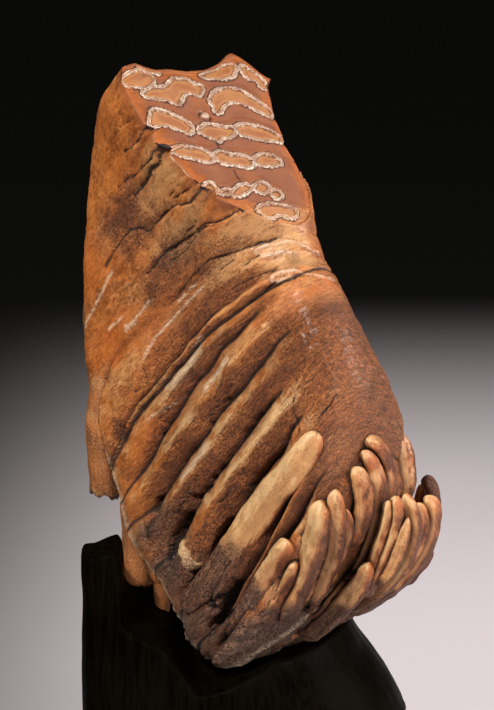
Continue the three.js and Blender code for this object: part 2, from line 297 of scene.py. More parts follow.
def groove_depths(station, height, places):
    """Depths of the valleys and the cracks, both as shares from 0 to 1, and the place on a ridge."""
    number = PLATE_COUNT * station + WANDER[1] * grain(places, WANDER[0])
    number += TREMBLE[1] * grain(places, TREMBLE[0], shift=5)
    spacing = plate_step * (
        (1 - height) * np.interp(station, fine_stations, root_speed)
        + height * np.interp(station, fine_stations, crown_speed)
    )
    table = np.array(GROOVES).T[:, :, None]
    centres = through_three(*table[:3], height[None])
    first, last = centres[0] - 1.5, np.full_like(centres[0], PLATE_COUNT + 0.9)
    centres = np.vstack([first[None], centres, last[None]])
    gap = number[None] - centres
    nearest = np.abs(gap).argmin(0)
    pick = np.arange(len(number))
    from_groove = gap[nearest, pick]
    neighbour = np.clip(nearest + np.where(from_groove > 0, 1, -1), 0, len(centres) - 1)
    half_gap = np.maximum(np.abs(centres[neighbour, pick] - centres[nearest, pick]) / 2, 0.15)
    share = np.clip(np.abs(from_groove) / half_gap, 0, 1)
    row = np.clip(nearest - 1, 0, len(GROOVES) - 1)
    values = np.array(GROOVES)[row].T
    real = (nearest > 0) & (nearest <= len(GROOVES))
    open_end = smooth(values[9] + 0.02, values[9] - 0.16, height) * real
    crack_end = smooth(values[9] + 0.05, values[9] - 0.05, height)
    valley = np.maximum(through_three(*values[3:6], height), 0) * open_end
    crack = np.maximum(through_three(*values[6:9], height), 0) * crack_end * real
    roundness = 1.5 + 2.5 * smooth(4, 1, valley)
    down = (1 - share) ** roundness
    line = hump(np.abs(from_groove) * spacing, CRACK_WIDTH)
    across_ridge = np.where(from_groove >= 0, share / 2, 1 - share / 2)
    shares = down * smooth(0.5, 4, valley), line * smooth(0.2, 1, crack)
    return valley * down, crack * line, *shares, across_ridge


print(len(GROOVES), "grooves between", PLATE_COUNT, "plates")

# %% [markdown]
# ## The crown
# A crown with folds has no primitive of its own, but a sheet can be rolled into one: its rows become
# rings along the tooth, and its columns go round. The two side edges meet, and the first and last
# rows shrink to a point, so merging by distance closes the shell. The rows are spaced evenly along
# the tooth, and the columns are closer together on the two sides that are seen most.

# %% A sheet with rows and columns
BODY_ROWS = 282
FRONT_RINGS = 12
REAR_RINGS = 22
NEAR_COLUMNS = 112
TOP_COLUMNS = 72
FAR_COLUMNS = 62
ROOT_COLUMNS = 44
FRONT_BULGE = 4
REAR_BULGE = 13

columns = TOP_COLUMNS + FAR_COLUMNS + ROOT_COLUMNS + NEAR_COLUMNS
rings = FRONT_RINGS + BODY_ROWS + REAR_RINGS
bpy.ops.mesh.primitive_grid_add(x_subdivisions=columns, y_subdivisions=rings, size=2 * MM)
crown = bpy.context.object
crown.name = "crown"
sheet = place_of(crown)
ring_of = np.round((sheet[:, 1] + 1) / 2 * rings).astype(int)
column_of = np.round((sheet[:, 0] + 1) / 2 * columns).astype(int) % columns
print("crown starts with", len(sheet), "points")

# %% Where each row and column goes
travelled = np.cumsum((root_speed + crown_speed) / 2)
even = np.linspace(travelled[0], travelled[-1], BODY_ROWS + 1)
row_station = np.interp(even, travelled, fine_stations)
row_station[[0, -1]] = 0, 1


def above_face(points):
    return (points - FACE_POINT) @ FACE_OUT


def edge_turns(stations, start, end):
    """The turn, from start to end, at which each plate's outline passes through the worn plane."""
    turns = np.linspace(start, end, 200)
    points, _, _ = outline_at(*np.meshgrid(stations, turns, indexing="ij"))
    rise = above_face(points)
    after = np.maximum((rise > 0).argmax(1), 1)
    row = np.arange(len(stations))
    low, high = rise[row, after - 1], rise[row, after]
    between = np.clip(-low / (high - low), 0, 1)
    crossing = turns[after - 1] + (turns[after] - turns[after - 1]) * between
    return np.where((rise > 0).any(1), crossing, end)


near_edge = edge_turns(row_station, 0, NEAR_SHOULDER)
far_edge = edge_turns(row_station, FAR_ROOT, FAR_SHOULDER)

top_share, far_share, root_share, near_share = (
    np.arange(count) / count for count in (TOP_COLUMNS, FAR_COLUMNS, ROOT_COLUMNS, NEAR_COLUMNS)
)
outline_shares = np.linspace(NEAR_SHOULDER - 1 / 12, FAR_SHOULDER + 2 / 12, 200)
outline_widths = curve_at(PLATE_OUTLINE, outline_shares, True)[:, 1]
near_width = curve_at(PLATE_OUTLINE, near_edge, True)[:, 1]
far_width = curve_at(PLATE_OUTLINE, far_edge, True)[:, 1]
top_width = near_width[:, None] + (far_width - near_width)[:, None] * top_share
row_turn = np.hstack([
    np.interp(top_width, outline_widths, outline_shares),
    far_edge[:, None] + (FAR_ROOT - far_edge)[:, None] * far_share,
    np.broadcast_to(FAR_ROOT + (1 - FAR_ROOT) * root_share, (BODY_ROWS + 1, ROOT_COLUMNS)),
    1 + near_edge[:, None] * near_share,
])
row_turn[:, 0] = near_edge
print("worn face reaches row", int((near_edge < NEAR_SHOULDER - 0.001).sum()), "of", BODY_ROWS)

# %% [markdown]
# The surface is not smooth. Three kinds of relief lie on it: slow lumps, fibres that run with the
# plates, and a leathery skin of small bumps, which fills the valleys and covers the lower shoulder.
# The points really move, so that the relief also shows on the outline and in the shadows.

# %% Relief over the crown
LUMP = (26, 1.1)  # size and height, in millimetres
SWELL = (10, 0.5)
FIBRE = (2.6, 0.32)
FIBRE_LENGTH = 7  # times as long as wide
WRINKLE = (3.6, 1.5)
SKIN = (2.9, 0.55)
PLATE_HEIGHT, PLATE_WIDTH = 115, 85  # about, in millimetres


def leather_share(number, turn, height, valley_share, places):
    """Where the leathery skin covers the crown: in valleys, and over the lower shoulder."""
    patchy = 0.5 + 0.5 * grain(places, 16, 2, shift=3)
    low = smooth(4.5, 8.5, number + 2 * (patchy - 0.5))
    shoulder = smooth(NEAR_SHOULDER - 0.11, NEAR_SHOULDER - 0.02, turn) * smooth(0.80, 0.62, turn)
    shoulder *= smooth(7.2, 9.2, number)
    hollow = low * np.clip(1.6 * valley_share, 0, 1) * smooth(0.05, 0.3, height)
    upper = smooth(3.5, 6, number) * smooth(9.5, 7, number)
    upper *= smooth(0.78, 0.55, height) * smooth(0.2, 0.4, height)
    return np.clip(np.maximum.reduce([shoulder, hollow, upper * patchy]), 0, 1)


def crown_relief(station, turn, place, points):
    """How far each point moves out, its shares of crack and skin, and its place on a ridge."""
    height = place[..., 0].ravel()
    flat_points = points.reshape(-1, 3)
    number = PLATE_COUNT * station.ravel()
    grooves = groove_depths(station.ravel(), height, flat_points)
    valley, crack, valley_share, crack_share, across_ridge = grooves
    shows = np.clip(0.25 + place[..., 2].ravel(), 0, 1) * smooth(-0.03, 0.16, height)
    skin = leather_share(number, turn.ravel() % 1, height, valley_share, flat_points)
    lumps = LUMP[1] * grain(flat_points, LUMP[0]) + SWELL[1] * grain(flat_points, SWELL[0], shift=9)
    mean_speed = travelled[-1] / len(travelled) * STATIONS / PLATE_COUNT
    along = np.stack([
        number * mean_speed,
        height * PLATE_HEIGHT / FIBRE_LENGTH,
        place[..., 1].ravel() * PLATE_WIDTH / FIBRE_LENGTH,
    ], -1)
    wrinkled = smooth(10.2, 12.4, number) * smooth(0.6, 0.25, height)
    fibres = FIBRE[1] * grain(along, FIBRE[0], 2) * (1 + 2.2 * wrinkled)
    fibres += WRINKLE[1] * wrinkled * grain(along * (1, 1.6, 1.6), WRINKLE[0], 2, shift=5)
    bumps = SKIN[1] * skin * (0.4 - np.abs(grain(flat_points, SKIN[0], 2, shift=2)) * 1.6)
    amount = lumps + fibres + bumps - (valley + crack) * shows
    return [value.reshape(station.shape) for value in (amount, crack_share, skin, across_ridge)]


grid_station = np.repeat(row_station[:, None], columns, 1)
origin, upward, across, ridge = plate_at(grid_station)
surface, outward, place = outline_at(grid_station, row_turn % 1)
place[:, :TOP_COLUMNS, 1] = top_width
in_plate = origin + upward * place[..., :1] + across * place[..., 1:2]
surface[:, :TOP_COLUMNS] = in_plate[:, :TOP_COLUMNS]
relief, crack_share, skin, across_ridge = crown_relief(grid_station, row_turn, place, surface)
print("relief from", relief.min().round(1), "to", relief.max().round(1), "mm")

# %% [markdown]
# The front end is ground flat by years of chewing. Points that would stand over the worn plane
# slide back along their plate until they lie in it, and the two edge columns are put in it exactly,
# so that the worn face gets a clean border.

# %% Wearing the crown down
EDGE_BLEND = 5  # millimetres from the border over which the flat face follows the grooves beside it

top_column = np.arange(columns) < TOP_COLUMNS
upward_way = unit(upward)
worn = smooth(-0.8, 0.4, above_face(surface)) * top_column
full_relief = relief + ridge * CREST_SHARE * place[..., 2]
lifted = surface + outward * (full_relief * (1 - worn))[..., None]
on_edge = np.zeros(lifted.shape[:2], bool)
on_edge[:, 0] = near_edge < NEAR_SHOULDER - 0.001
on_edge[:, TOP_COLUMNS] = far_edge > FAR_SHOULDER + 0.001
worn[on_edge] = 1
edge_places = surface + outward * full_relief[..., None]


def slid_to_face(points, ways, always):
    """Slides points over the worn plane, and those in always, into it along their plates."""
    rise = above_face(points)
    slide = np.where((rise > 0) | always, rise / (ways @ FACE_OUT), 0)
    return points - ways * slide[..., None]


lifted = slid_to_face(lifted, upward_way, on_edge)
edge_places = slid_to_face(edge_places, upward_way, on_edge)
flat_width = np.linalg.norm(edge_places[:, TOP_COLUMNS] - edge_places[:, 0], axis=1)
for column, from_edge in ((0, top_share), (TOP_COLUMNS, 1 - top_share)):
    bare = slid_to_face(surface, upward_way, on_edge)[:, column]
    shift = (edge_places[:, column] - bare) * on_edge[:, column, None]
    fade = hump(from_edge[None] * flat_width[:, None], EDGE_BLEND) * (np.arange(TOP_COLUMNS) > 0)
    lifted[:, :TOP_COLUMNS] += shift[:, None] * fade[..., None]
    lifted[:, column] = np.where(on_edge[:, column, None], edge_places[:, column], lifted[:, column])
print("worn points:", int((worn > 0.5).sum()))

# %% [markdown]
# The border of the worn face is not where a plain cut would leave it. It overhangs the near side,
# and its front edge dips in the middle and rises to a chipped peak. So the points near the border
# shift in the plane of the face, which keeps the face flat, and the shift fades out below it.

# %% Shaping the border of the worn face
# Down the face, shift of the near border outwards. Across the face, shift of the front edge down.
NEAR_SHIFT = [
    (-14, 0), (-4, 3), (5, 8.5), (17, 9.4), (29, 10.5), (35.5, 11.5), (38.5, 7), (42, 11), (47.5, 12.5),
    (51, 7), (55, 10), (62, 9), (75, 10), (79, 5.5), (83, 9.5), (94, 5), (106, 0),
]
FRONT_SHIFT = [
    (-14, 5), (2, 2), (8, 0), (12, 2.5), (17, 4.3), (27, 4), (35, 5), (46, 3.3), (56, 0),
    (63, -4.3), (71, -9.3), (75, -6.5), (78, -3), (82, 5), (88, 9),
]
NEAR_REACH, NEAR_DEPTH = 17, (45, 26)  # how far in, and how far down near the top and the bottom
FRONT_REACH, FRONT_DEPTH = 15, 22
LOW_SHIFTS = [  # centre x and z, reach along them, and the shift
    (-22, 58, 30, 26, (-9, 0, -1.5)),
    (-53, 97, 22, 26, (-7.5, 0, -1)),
]
border = edge_places[on_edge[:, 0], 0] - FACE_POINT
border_across, border_down = border @ FACE_ACROSS, border @ FACE_DOWN


def bordered(points):
    """Moves points near the worn face so that its border takes its own shape."""
    offset = points - FACE_POINT
    over, down = offset @ FACE_ACROSS, offset @ FACE_DOWN
    depth = np.maximum(-above_face(points), 0)
    from_near = np.maximum(over - np.interp(down, border_down, border_across), 0)
    near = np.interp(down, *zip(*NEAR_SHIFT)) * hump(from_near, NEAR_REACH)
    near *= hump(depth, np.interp(down, (10, 50), NEAR_DEPTH))
    front = np.interp(over, *zip(*FRONT_SHIFT)) * hump(np.maximum(down + 4, 0), FRONT_REACH)
    front *= hump(depth, FRONT_DEPTH)
    return points - FACE_ACROSS * near[..., None] + FACE_DOWN * front[..., None]


def settled(points):
    """The low rim hangs a little further to the left and down than the plates alone would."""
    moved = points
    for x, z, wide, high, shift in LOW_SHIFTS:
        weight = np.exp(-(((points[..., 0] - x) / wide) ** 2) - ((points[..., 2] - z) / high) ** 2)
        moved = moved + weight[..., None] * np.array(shift)
    return moved


print("near border moves by up to", max(shift for _, shift in NEAR_SHIFT), "mm")

# %% Placing every point of the sheet
forward = unit(np.cross(upward[:, 0], across[:, 0]))
ring_points = np.zeros((rings + 1, columns, 3))
ring_points[FRONT_RINGS:FRONT_RINGS + BODY_ROWS + 1] = lifted


def close_end(first, last, edge, way, bulge, roughness):
    """Fills an end of the crown with rings that shrink to its middle and swell outwards."""
    middle = edge.mean(0)
    for ring in range(first, last, 1 if last > first else -1):
        size = ((ring - first) / (last - first)) ** 0.8
        dome = middle + (edge - middle) * size + way * bulge * math.sqrt(max(1 - size * size, 0))
        rough = grain(dome, 9, 3) * roughness * smooth(1, 0.85, size)
        ring_points[ring] = dome + way * rough[:, None]


close_end(0, FRONT_RINGS, lifted[0], forward[0], FRONT_BULGE, 1.2)
close_end(rings, rings - REAR_RINGS, lifted[-1], -forward[-1], REAR_BULGE, 2.0)
set_place(crown, settled(bordered(ring_points))[ring_of, column_of])
store(crown, "ring", ring_of)
store(crown, "column", column_of)
close_shell(crown, 1e-7)
ring_of = read(crown, "ring").round().astype(int)
column_of = read(crown, "column").round().astype(int)
print("crown has", len(crown.data.vertices), "points and", len(crown.data.polygons), "faces")

# %% [markdown]
# ## The worn face
# On the worn face each plate shows as a flat loop: a raised line of hard enamel round softer dentine,
# which wears hollow. Between the loops lies smooth cement. These details are finer than the crown's
# own mesh, so the flat faces are copied, given a back, and cut into much smaller squares.

# %% A slab for the worn face
SLAB_DEPTH = 2.4
SLAB_SINK = 1.9  # how far the crown's own flat faces drop under the slab
SLAB_CUTS = 2
ROUNDING = (1.2, 3.4)  # how far the border is rounded down, and over what width
SLAB_TAPER = 0.94
BORDER_KEPT = 0.55  # share of wear from which a point belongs to the slab

body_row = np.clip(ring_of - FRONT_RINGS, 0, BODY_ROWS)
crown_places = place_of(crown)
flat_points = (worn[body_row, column_of] > BORDER_KEPT) & (body_row == ring_of - FRONT_RINGS)
flat_points &= (column_of <= TOP_COLUMNS) & (np.abs(above_face(crown_places)) < 0.02)
select_faces(crown, flat_points)
bpy.ops.mesh.duplicate()
bpy.ops.mesh.separate(type="SELECTED")
bpy.ops.object.mode_set(mode="OBJECT")
worn_face = [piece for piece in bpy.context.selected_objects if piece != crown][0]
worn_face.name = "worn_face"

on_rim = np.zeros(len(crown_places), bool)
for face in crown.data.polygons:
    if not all(flat_points[v] for v in face.vertices):
        on_rim[list(face.vertices)] = True
sink = np.where(on_rim, ROUNDING[0], SLAB_SINK) * flat_points
set_place(crown, crown_places - FACE_OUT * sink[:, None])

select_only(worn_face)
bpy.ops.object.mode_set(mode="EDIT")
bpy.ops.mesh.select_all(action="SELECT")
backward = {"value": tuple(-FACE_OUT * SLAB_DEPTH * MM)}
bpy.ops.mesh.extrude_region_move(TRANSFORM_OT_translate=backward)
bpy.ops.transform.resize(value=(SLAB_TAPER, SLAB_TAPER, SLAB_TAPER))
bpy.ops.object.mode_set(mode="OBJECT")
close_shell(worn_face)
select_faces(worn_face, above_face(place_of(worn_face)) > -0.1)
bpy.ops.mesh.subdivide(number_cuts=SLAB_CUTS)
bpy.ops.object.mode_set(mode="OBJECT")
bpy.ops.object.shade_smooth()
print("worn face has", len(worn_face.data.vertices), "points")

# %% [markdown]
# Each loop is a closed curve in the face's own plane, across and down from its corner. A plate is
# often worn into two or three loops, because it is made of finger-like pillars that only join lower
# down. The rim is scalloped, and stands a little over the cement.

# %% The enamel loops
# In half millimetres, across and down.
LOOPS = [
    [(-15, 9), (-2, 2), (11, -1), (20, 5), (20, 16), (11, 24), (-3, 25), (-13, 22), (-18, 17)],
    [(13, -6), (26, -6), (35, 2), (30, 6), (20, 4), (12, -2)],
    [(82, 8), (99, 0), (118, -7), (132, -9), (135, -3), (127, 8), (111, 14), (93, 13), (83, 12)],
    [(140, -5), (148, -5), (153, 5), (159, 12), (164, 22), (159, 26), (149, 25), (148, 18),
     (140, 14), (137, 5)],
    [(-4, 32), (9, 25), (22, 24), (31, 21), (36, 17), (46, 12), (61, 12), (67, 19), (75, 22),
     (72, 30), (65, 36), (56, 34), (48, 34), (38, 44), (30, 49), (23, 45), (13, 40), (0, 38)],
    [(76, 39), (84, 31), (99, 26), (116, 27), (128, 37), (137, 48), (145, 57), (142, 65),
     (133, 64), (122, 56), (109, 48), (98, 46), (86, 52), (77, 60), (70, 59), (73, 50), (70, 45)],
    [(-5, 54), (5, 54), (17, 60), (27, 68), (32, 76), (29, 84), (21, 87), (14, 82), (5, 77),
     (-5, 74), (-14, 75), (-14, 67)],
    [(38, 79), (48, 74), (62, 75), (72, 77), (82, 79), (81, 87), (70, 93), (60, 93), (52, 99),
     (49, 95), (41, 91), (37, 85)],
    [(86, 77), (98, 75), (112, 78), (126, 85), (136, 92), (133, 99), (122, 100), (106, 97),
     (93, 92), (84, 89)],
    [(50, 184), (64, 178), (80, 180), (96, 188), (88, 197), (72, 193), (60, 194)],
    [(-11, 105), (1, 101), (14, 103), (27, 107), (35, 114), (32, 122), (24, 124), (14, 121),
     (4, 117), (-3, 113), (-8, 109)],
    [(38, 113), (48, 109), (58, 114), (72, 115), (81, 121), (77, 131), (67, 132), (56, 129),
     (44, 127), (38, 122)],
    [(83, 120), (97, 115), (109, 117), (115, 124), (112, 130), (99, 132), (85, 130), (81, 126)],
    [(1, 154), (10, 148), (16, 151), (17, 158), (9, 162), (2, 159)],
    [(18, 160), (27, 157), (32, 160), (26, 164), (20, 163)],
    [(33, 160), (46, 153), (55, 153), (59, 159), (47, 165), (35, 168), (31, 165)],
    [(61, 158), (70, 152), (78, 152), (80, 160), (71, 165), (63, 164)],
    [(77, 163), (87, 162), (91, 168), (84, 173), (76, 170)],
]
FAR = 6.0  # millimetres: what a rim or crack further off than this is stored as
BEAD, BEAD_RADIUS = (28, 31.5), 2.4  # across and down: a single small pillar
PIT, PIT_RADIUS = (37.5, 20.5), 1.0
FACE_CRACKS = [(24.6, 47.5, 54.5), (25.2, 66, 76)]  # across, and down from and to: hairlines
HAIRLINE = 0.45
RIM_HALF_WIDTH = 0.95
RIM_HEIGHT = 0.7
HOLLOW_DEPTH = 0.4
SCALLOP = (2.6, 0.16)  # length and size of a scallop of the rim
LOOP_STEP = 0.5
FARTHEST = 99.0


def even_loop(points):
    """The loop as a closed row of points about LOOP_STEP apart, and how far along each one lies."""
    dense = curve_at(np.array(points) / 2, np.linspace(0, 1, 400, endpoint=False), True)
    steps = np.linalg.norm(np.roll(dense, -1, 0) - dense, axis=1)
    length = np.concatenate([[0], np.cumsum(steps)])
    along = np.linspace(0, length[-1], max(int(length[-1] / LOOP_STEP), 12), endpoint=False)
    ring = np.vstack([dense, dense[:1]])
    return np.stack([np.interp(along, length, ring[:, i]) for i in (0, 1)], -1), along


def rim_distance(spots, points):
    """Distance of each spot from a loop, negative inside it, and the place along the loop."""
    ring, along = even_loop(points)
    following = np.roll(ring, -1, 0)
    side = following - ring
    distance = np.full(len(spots), FARTHEST)
    nearest_along = np.zeros(len(spots))
    inside = np.zeros(len(spots), bool)
    near = np.all((spots > ring.min(0) - 5) & (spots < ring.max(0) + 5), axis=1)
    spot = spots[near][:, None]
    share = np.clip(((spot - ring) * side).sum(-1) / (side**2).sum(-1), 0, 1)
    gap = np.linalg.norm(spot - ring - share[..., None] * side, axis=-1)
    distance[near] = gap.min(1)
    nearest_along[near] = along[gap.argmin(1)]
    crosses = (ring[:, 1] > spot[..., 1]) != (following[:, 1] > spot[..., 1])
    reach = ring[:, 0] + (spot[..., 1] - ring[:, 1]) * side[:, 0] / (side[:, 1] + 1e-9)
    inside[near] = (crosses & (spot[..., 0] < reach)).sum(1) % 2 == 1
    return np.where(inside, -distance, distance), nearest_along


print(len(LOOPS), "loops, the longest", max(int(even_loop(loop)[1][-1]) for loop in LOOPS), "mm round")

# %% Raising the enamel and hollowing the dentine
face_places = place_of(worn_face)
offset = face_places - FACE_POINT
spots = np.stack([offset @ FACE_ACROSS, offset @ FACE_DOWN], -1)
on_top = above_face(face_places) > -0.1
wander = np.stack([grain(face_places, 5, 2, shift=k) for k in (0, 7)], -1) * 0.45
nearest_rim = np.full(len(spots), FARTHEST)
rim_along = np.zeros(len(spots))
for loop in LOOPS:
    distance, along = rim_distance(spots + wander, loop)
    closer = np.abs(distance) < np.abs(nearest_rim)
    nearest_rim = np.where(closer, distance, nearest_rim)
    rim_along = np.where(closer, along, rim_along)
scallop = np.sin(rim_along * 2 * math.pi / SCALLOP[0] + 2 * grain(face_places, 6, shift=4))
edge = nearest_rim - SCALLOP[1] * scallop * np.where(nearest_rim > 0, 1, 0.4)
crests = hump(edge - 0.6, 0.3) + 0.9 * hump(edge + 0.55, 0.33)
body = smooth(RIM_HALF_WIDTH + 0.35, RIM_HALF_WIDTH - 0.45, np.abs(edge))
dentine = smooth(-RIM_HALF_WIDTH + 0.3, -RIM_HALF_WIDTH - 0.5, edge)
worn_relief = RIM_HEIGHT * (0.6 * body + 0.4 * np.clip(crests, 0, 1)) - HOLLOW_DEPTH * dentine
worn_relief += body * 0.12 * grain(face_places, 1.6, 2)
print(int((nearest_rim < 0).sum()), "points lie inside a loop")

# %% The small pillar, the pit and the hairlines
from_bead = np.linalg.norm(spots - np.array(BEAD), axis=1) / BEAD_RADIUS
bead = np.sqrt(np.clip(1 - from_bead**2, 0, 1))
moat = hump(from_bead - 1.25, 0.3)
pit = hump(np.linalg.norm(spots - np.array(PIT), axis=1), PIT_RADIUS)
for x, top_end, bottom_end in FACE_CRACKS:
    hairline = hump(spots[:, 0] + 0.3 * grain(face_places, 4, 2) - x, HAIRLINE)
    pit = np.maximum(pit, hairline * ((spots[:, 1] > top_end) & (spots[:, 1] < bottom_end)))
worn_relief += 1.5 * bead - 0.8 * moat - 0.5 * pit
worn_relief += 0.35 * grain(face_places, 13, 2) - 0.3 * smooth(2.2, 6, nearest_rim)
print("the pillar stands", round(float(bead.max()) * 1.5, 1), "mm high")

# %% [markdown]
# The border of the face is rounded by years of wear. Its edges are those that belong to one face
# only. A KD tree sorts their points, so that the nearest one to any place is found at once.

# %% The rounded border of the worn face
def nearest_of(points, places):
    """Which of the points lies nearest to each place, and how far away it is."""
    tree = KDTree(len(points))
    for i, point in enumerate(points):
        tree.insert(point, i)
    tree.balance()
    found = [tree.find(place) for place in places]
    return np.array([i for _, i, _ in found]), np.array([gap for _, _, gap in found])


edges_used = [
    key for face in worn_face.data.polygons if all(on_top[v] for v in face.vertices)
    for key in face.edge_keys
]
edges, times_used = np.unique(edges_used, axis=0, return_counts=True)
_, to_border = nearest_of(face_places[np.unique(edges[times_used == 1])], face_places)
worn_relief *= smooth(0, 1.5, to_border)
worn_relief = (worn_relief - 0.95 * ROUNDING[0] * hump(to_border, ROUNDING[1])) * on_top
set_place(worn_face, face_places + FACE_OUT * worn_relief[:, None])
store(worn_face, "enamel", 0.7 * smooth(0.2, 0.6, bead) * on_top)
store(worn_face, "dentine", dentine * on_top)
store(worn_face, "crack", np.clip(0.7 * moat + pit, 0, 1) * on_top)
store(worn_face, "rim", np.where(on_top, np.clip(nearest_rim, -FAR, FAR), FAR))
print("relief of the worn face:", worn_relief.min().round(1), "to", worn_relief.max().round(1), "mm")

# %% [markdown]
# ## Free plate tips
# At the lower end the plates are not yet bound by cement, and their pillars stand free like fingers.
# One straight finger is modelled: a circle is drawn up ring by ring, and its last rings close in to a
# round tip. Each of the others is a copy of it, bent along its own points.

# %% One straight finger
FINGER_SIDES = 26
FINGER_RINGS = 46
TIP_SHARE = 0.1  # of the length, where the tip is rounded


def draw_rod(name, sides, rows, end_size):
    """A closed rod of radius 1 from z = 0 to z = 1, drawn up from a circle."""
    bpy.ops.mesh.primitive_circle_add(vertices=sides, radius=end_size(0) * MM, fill_type="NGON")
    rod = bpy.context.object
    rod.name = name
    bpy.ops.object.mode_set(mode="EDIT")
    bpy.ops.mesh.select_all(action="SELECT")
    size = end_size(0)
    for row in range(1, rows + 1):
        step = {"value": (0, 0, MM / rows)}
        bpy.ops.mesh.extrude_region_move(TRANSFORM_OT_translate=step)
        grown = end_size(row / rows) / size
        bpy.ops.transform.resize(value=(grown, grown, 1))
        size *= grown
    bpy.ops.mesh.poke()
    bpy.ops.object.mode_set(mode="OBJECT")
    bpy.ops.object.shade_smooth()
    return rod


def round_end(rounded, least=0.01):
    """The size of a rod along its length, when a share of it closes in to a round tip."""
    return lambda share: math.sqrt(max(1 - max((share - 1 + rounded) / rounded, 0) ** 2, least))


straight_finger = draw_rod("straight_finger", FINGER_SIDES, FINGER_RINGS, round_end(TIP_SHARE))
print("one finger has", len(straight_finger.data.polygons), "faces")

# %% Bending copies
# Points of [x, y, z, radius] in millimetres, from the base to the tip.
FINGERS = [
    [(-23, -34, 83, 5.5), (-9, -50, 111, 7), (0, -59, 128, 7.5), (11, -70, 149, 7.5),
     (21, -80, 165, 7), (28, -84, 178, 6), (33, -86, 188, 4.2)],
    [(-1, -42, 71, 8), (4, -56, 88, 7.4), (8.5, -67, 106, 6.4), (15.5, -78, 124, 5.2),
     (19, -85, 133, 3.6)],
    [(10, -60, 87, 4.5), (17, -66, 101, 4.5), (21, -75, 114, 4), (23, -79, 121, 3)],
    [(20, -59, 87, 5), (26, -68, 106, 6.5), (31, -79, 126, 6.6), (34, -87, 143, 5.6),
     (34, -90, 155, 4)],
    [(32, -55, 91, 4), (38, -62, 107, 5), (42, -73, 126, 5), (42, -85, 145, 4.7),
     (41, -89, 160, 3.6)],
    [(41, -63, 110, 2.6), (46, -70, 124, 2.8), (48, -77, 138, 2.6), (46, -85, 149, 2)],
    [(52, -65, 127, 3.4), (54, -72, 139, 4.6), (55, -78, 152, 4.6), (53, -81, 162, 4.2),
     (50, -83, 169, 3.2)],
    [(35, -41, 79, 4), (44, -46, 92, 5), (54, -47, 105, 5.4), (60, -54, 122, 5),
     (63, -62, 141, 4.8), (62, -69, 155, 4.6), (59, -70, 165, 4.2), (54, -77, 175, 3.2)],
    [(68, -54, 139, 4.4), (68, -59, 152, 4.6), (67, -59, 162, 4.6), (62, -67, 173, 4.2),
     (56, -74, 180, 3.2)],
    [(34, -40, 70, 6), (43, -46, 81, 6.2), (51, -54, 93, 6), (56.5, -61, 105, 5.2),
     (58, -70, 116, 3.6)],
    [(43, -26, 70, 3.2), (53, -28, 76, 3.4), (63, -36, 86, 3.2), (67, -40, 92, 2.2)],
    [(34, -82, 179, 4), (39, -79, 188, 6), (42, -77, 196, 6), (43, -77, 201, 4.5)],
    [(77, -40, 142, 4.5), (77, -39, 152, 5.6), (75, -38, 163, 5.6), (71, -38, 172, 4)],
    [(58, -58, 105, 3.4), (64, -65, 124, 3.6), (67, -70, 139, 3.4), (67, -73, 149, 2.4)],
    [(58, -54, 96, 4), (64, -59, 110, 4.6), (69, -65, 126, 4.6), (71, -69, 140, 4),
     (70, -72, 151, 3)],
    [(60, -46, 89, 4.5), (71, -49, 102, 5.6), (77, -53, 115, 6), (80, -58, 129, 5.2),
     (79, -61, 140, 4.4), (75, -64, 149, 3)],
    [(67, -60, 106, 3.6), (72, -64, 119, 4.2), (75, -67, 130, 3.8), (77, -68, 139, 1.2)],
    [(75, -40, 102, 4.5), (82, -44, 115, 4.6), (85, -48, 128, 4.2), (83, -52, 141, 3)],
    [(54, -30, 77, 4), (66, -32, 85, 4.8), (77, -34, 95, 5), (86, -37, 108, 5),
     (90, -39, 121, 4.7), (91, -42, 134, 4.2), (87, -45, 142, 3.2)],
    [(90, -18, 114, 4), (93, -20, 127, 5), (92, -22, 137, 4.6), (88, -24, 145, 3)],
    [(81, -14, 87, 4), (86, -15, 94, 4.6), (90, -16, 100, 4.6), (92, -17, 105, 3)],
    [(31, -57, 87, 1.8), (34, -58, 91, 2.4)],
    [(68, -33, 85, 2), (72, -34, 88, 2.6)],
    [(67, -2, 78, 6), (78, -18, 93, 6), (86, -27, 115, 5.5), (87, -33, 134, 4)],
    [(66, 12, 80, 7), (79, 0, 95, 6), (88, -6, 114, 6), (89, -13, 138, 4)],
    [(56, 16, 84, 7), (69, 8, 101, 6.5), (78, 2, 122, 6), (78, -4, 144, 4)],
    [(49, 24, 90, 7), (59, 16, 108, 7), (66, 9, 130, 6.5), (66, 3, 152, 4)],
    [(38, 10, 74, 6), (52, 4, 80, 6), (66, -2, 90, 5.5), (76, -8, 104, 4.5), (80, -12, 118, 3)],
    [(46, -4, 70, 5), (60, -10, 78, 5.5), (72, -16, 90, 5), (79, -20, 104, 4)],
]
FINGER_STAIN_AND_SHADE = {0: 0, 3: 0, 19: 1, 20: 1, 7: 0.1}  # how darkly some fingers are stained; 19 and 20, behind the others, are painted dark as painted shade as well as stain
CROWN_MIDDLE = np.array([20, -10, 150.0])
CROWN_HEART = np.array([15, -15, 115.0])  # the base of every finger dives towards it
FOLD = 0.13  # of the radius, the depth of the folds that run along a finger
FINGER_FLATNESS = 0.86
DIVE, LEAD = 9, 4  # millimetres that a base goes on towards the heart, and along its own way
NOISE_GAP = 40  # millimetres between the noises of two copies
FINGER_LUMPS, FINGER_GRAIN, FINGER_WRINKLES = (8, 0.7), (2.2, 0.16), (3, 0.7)  # size and height


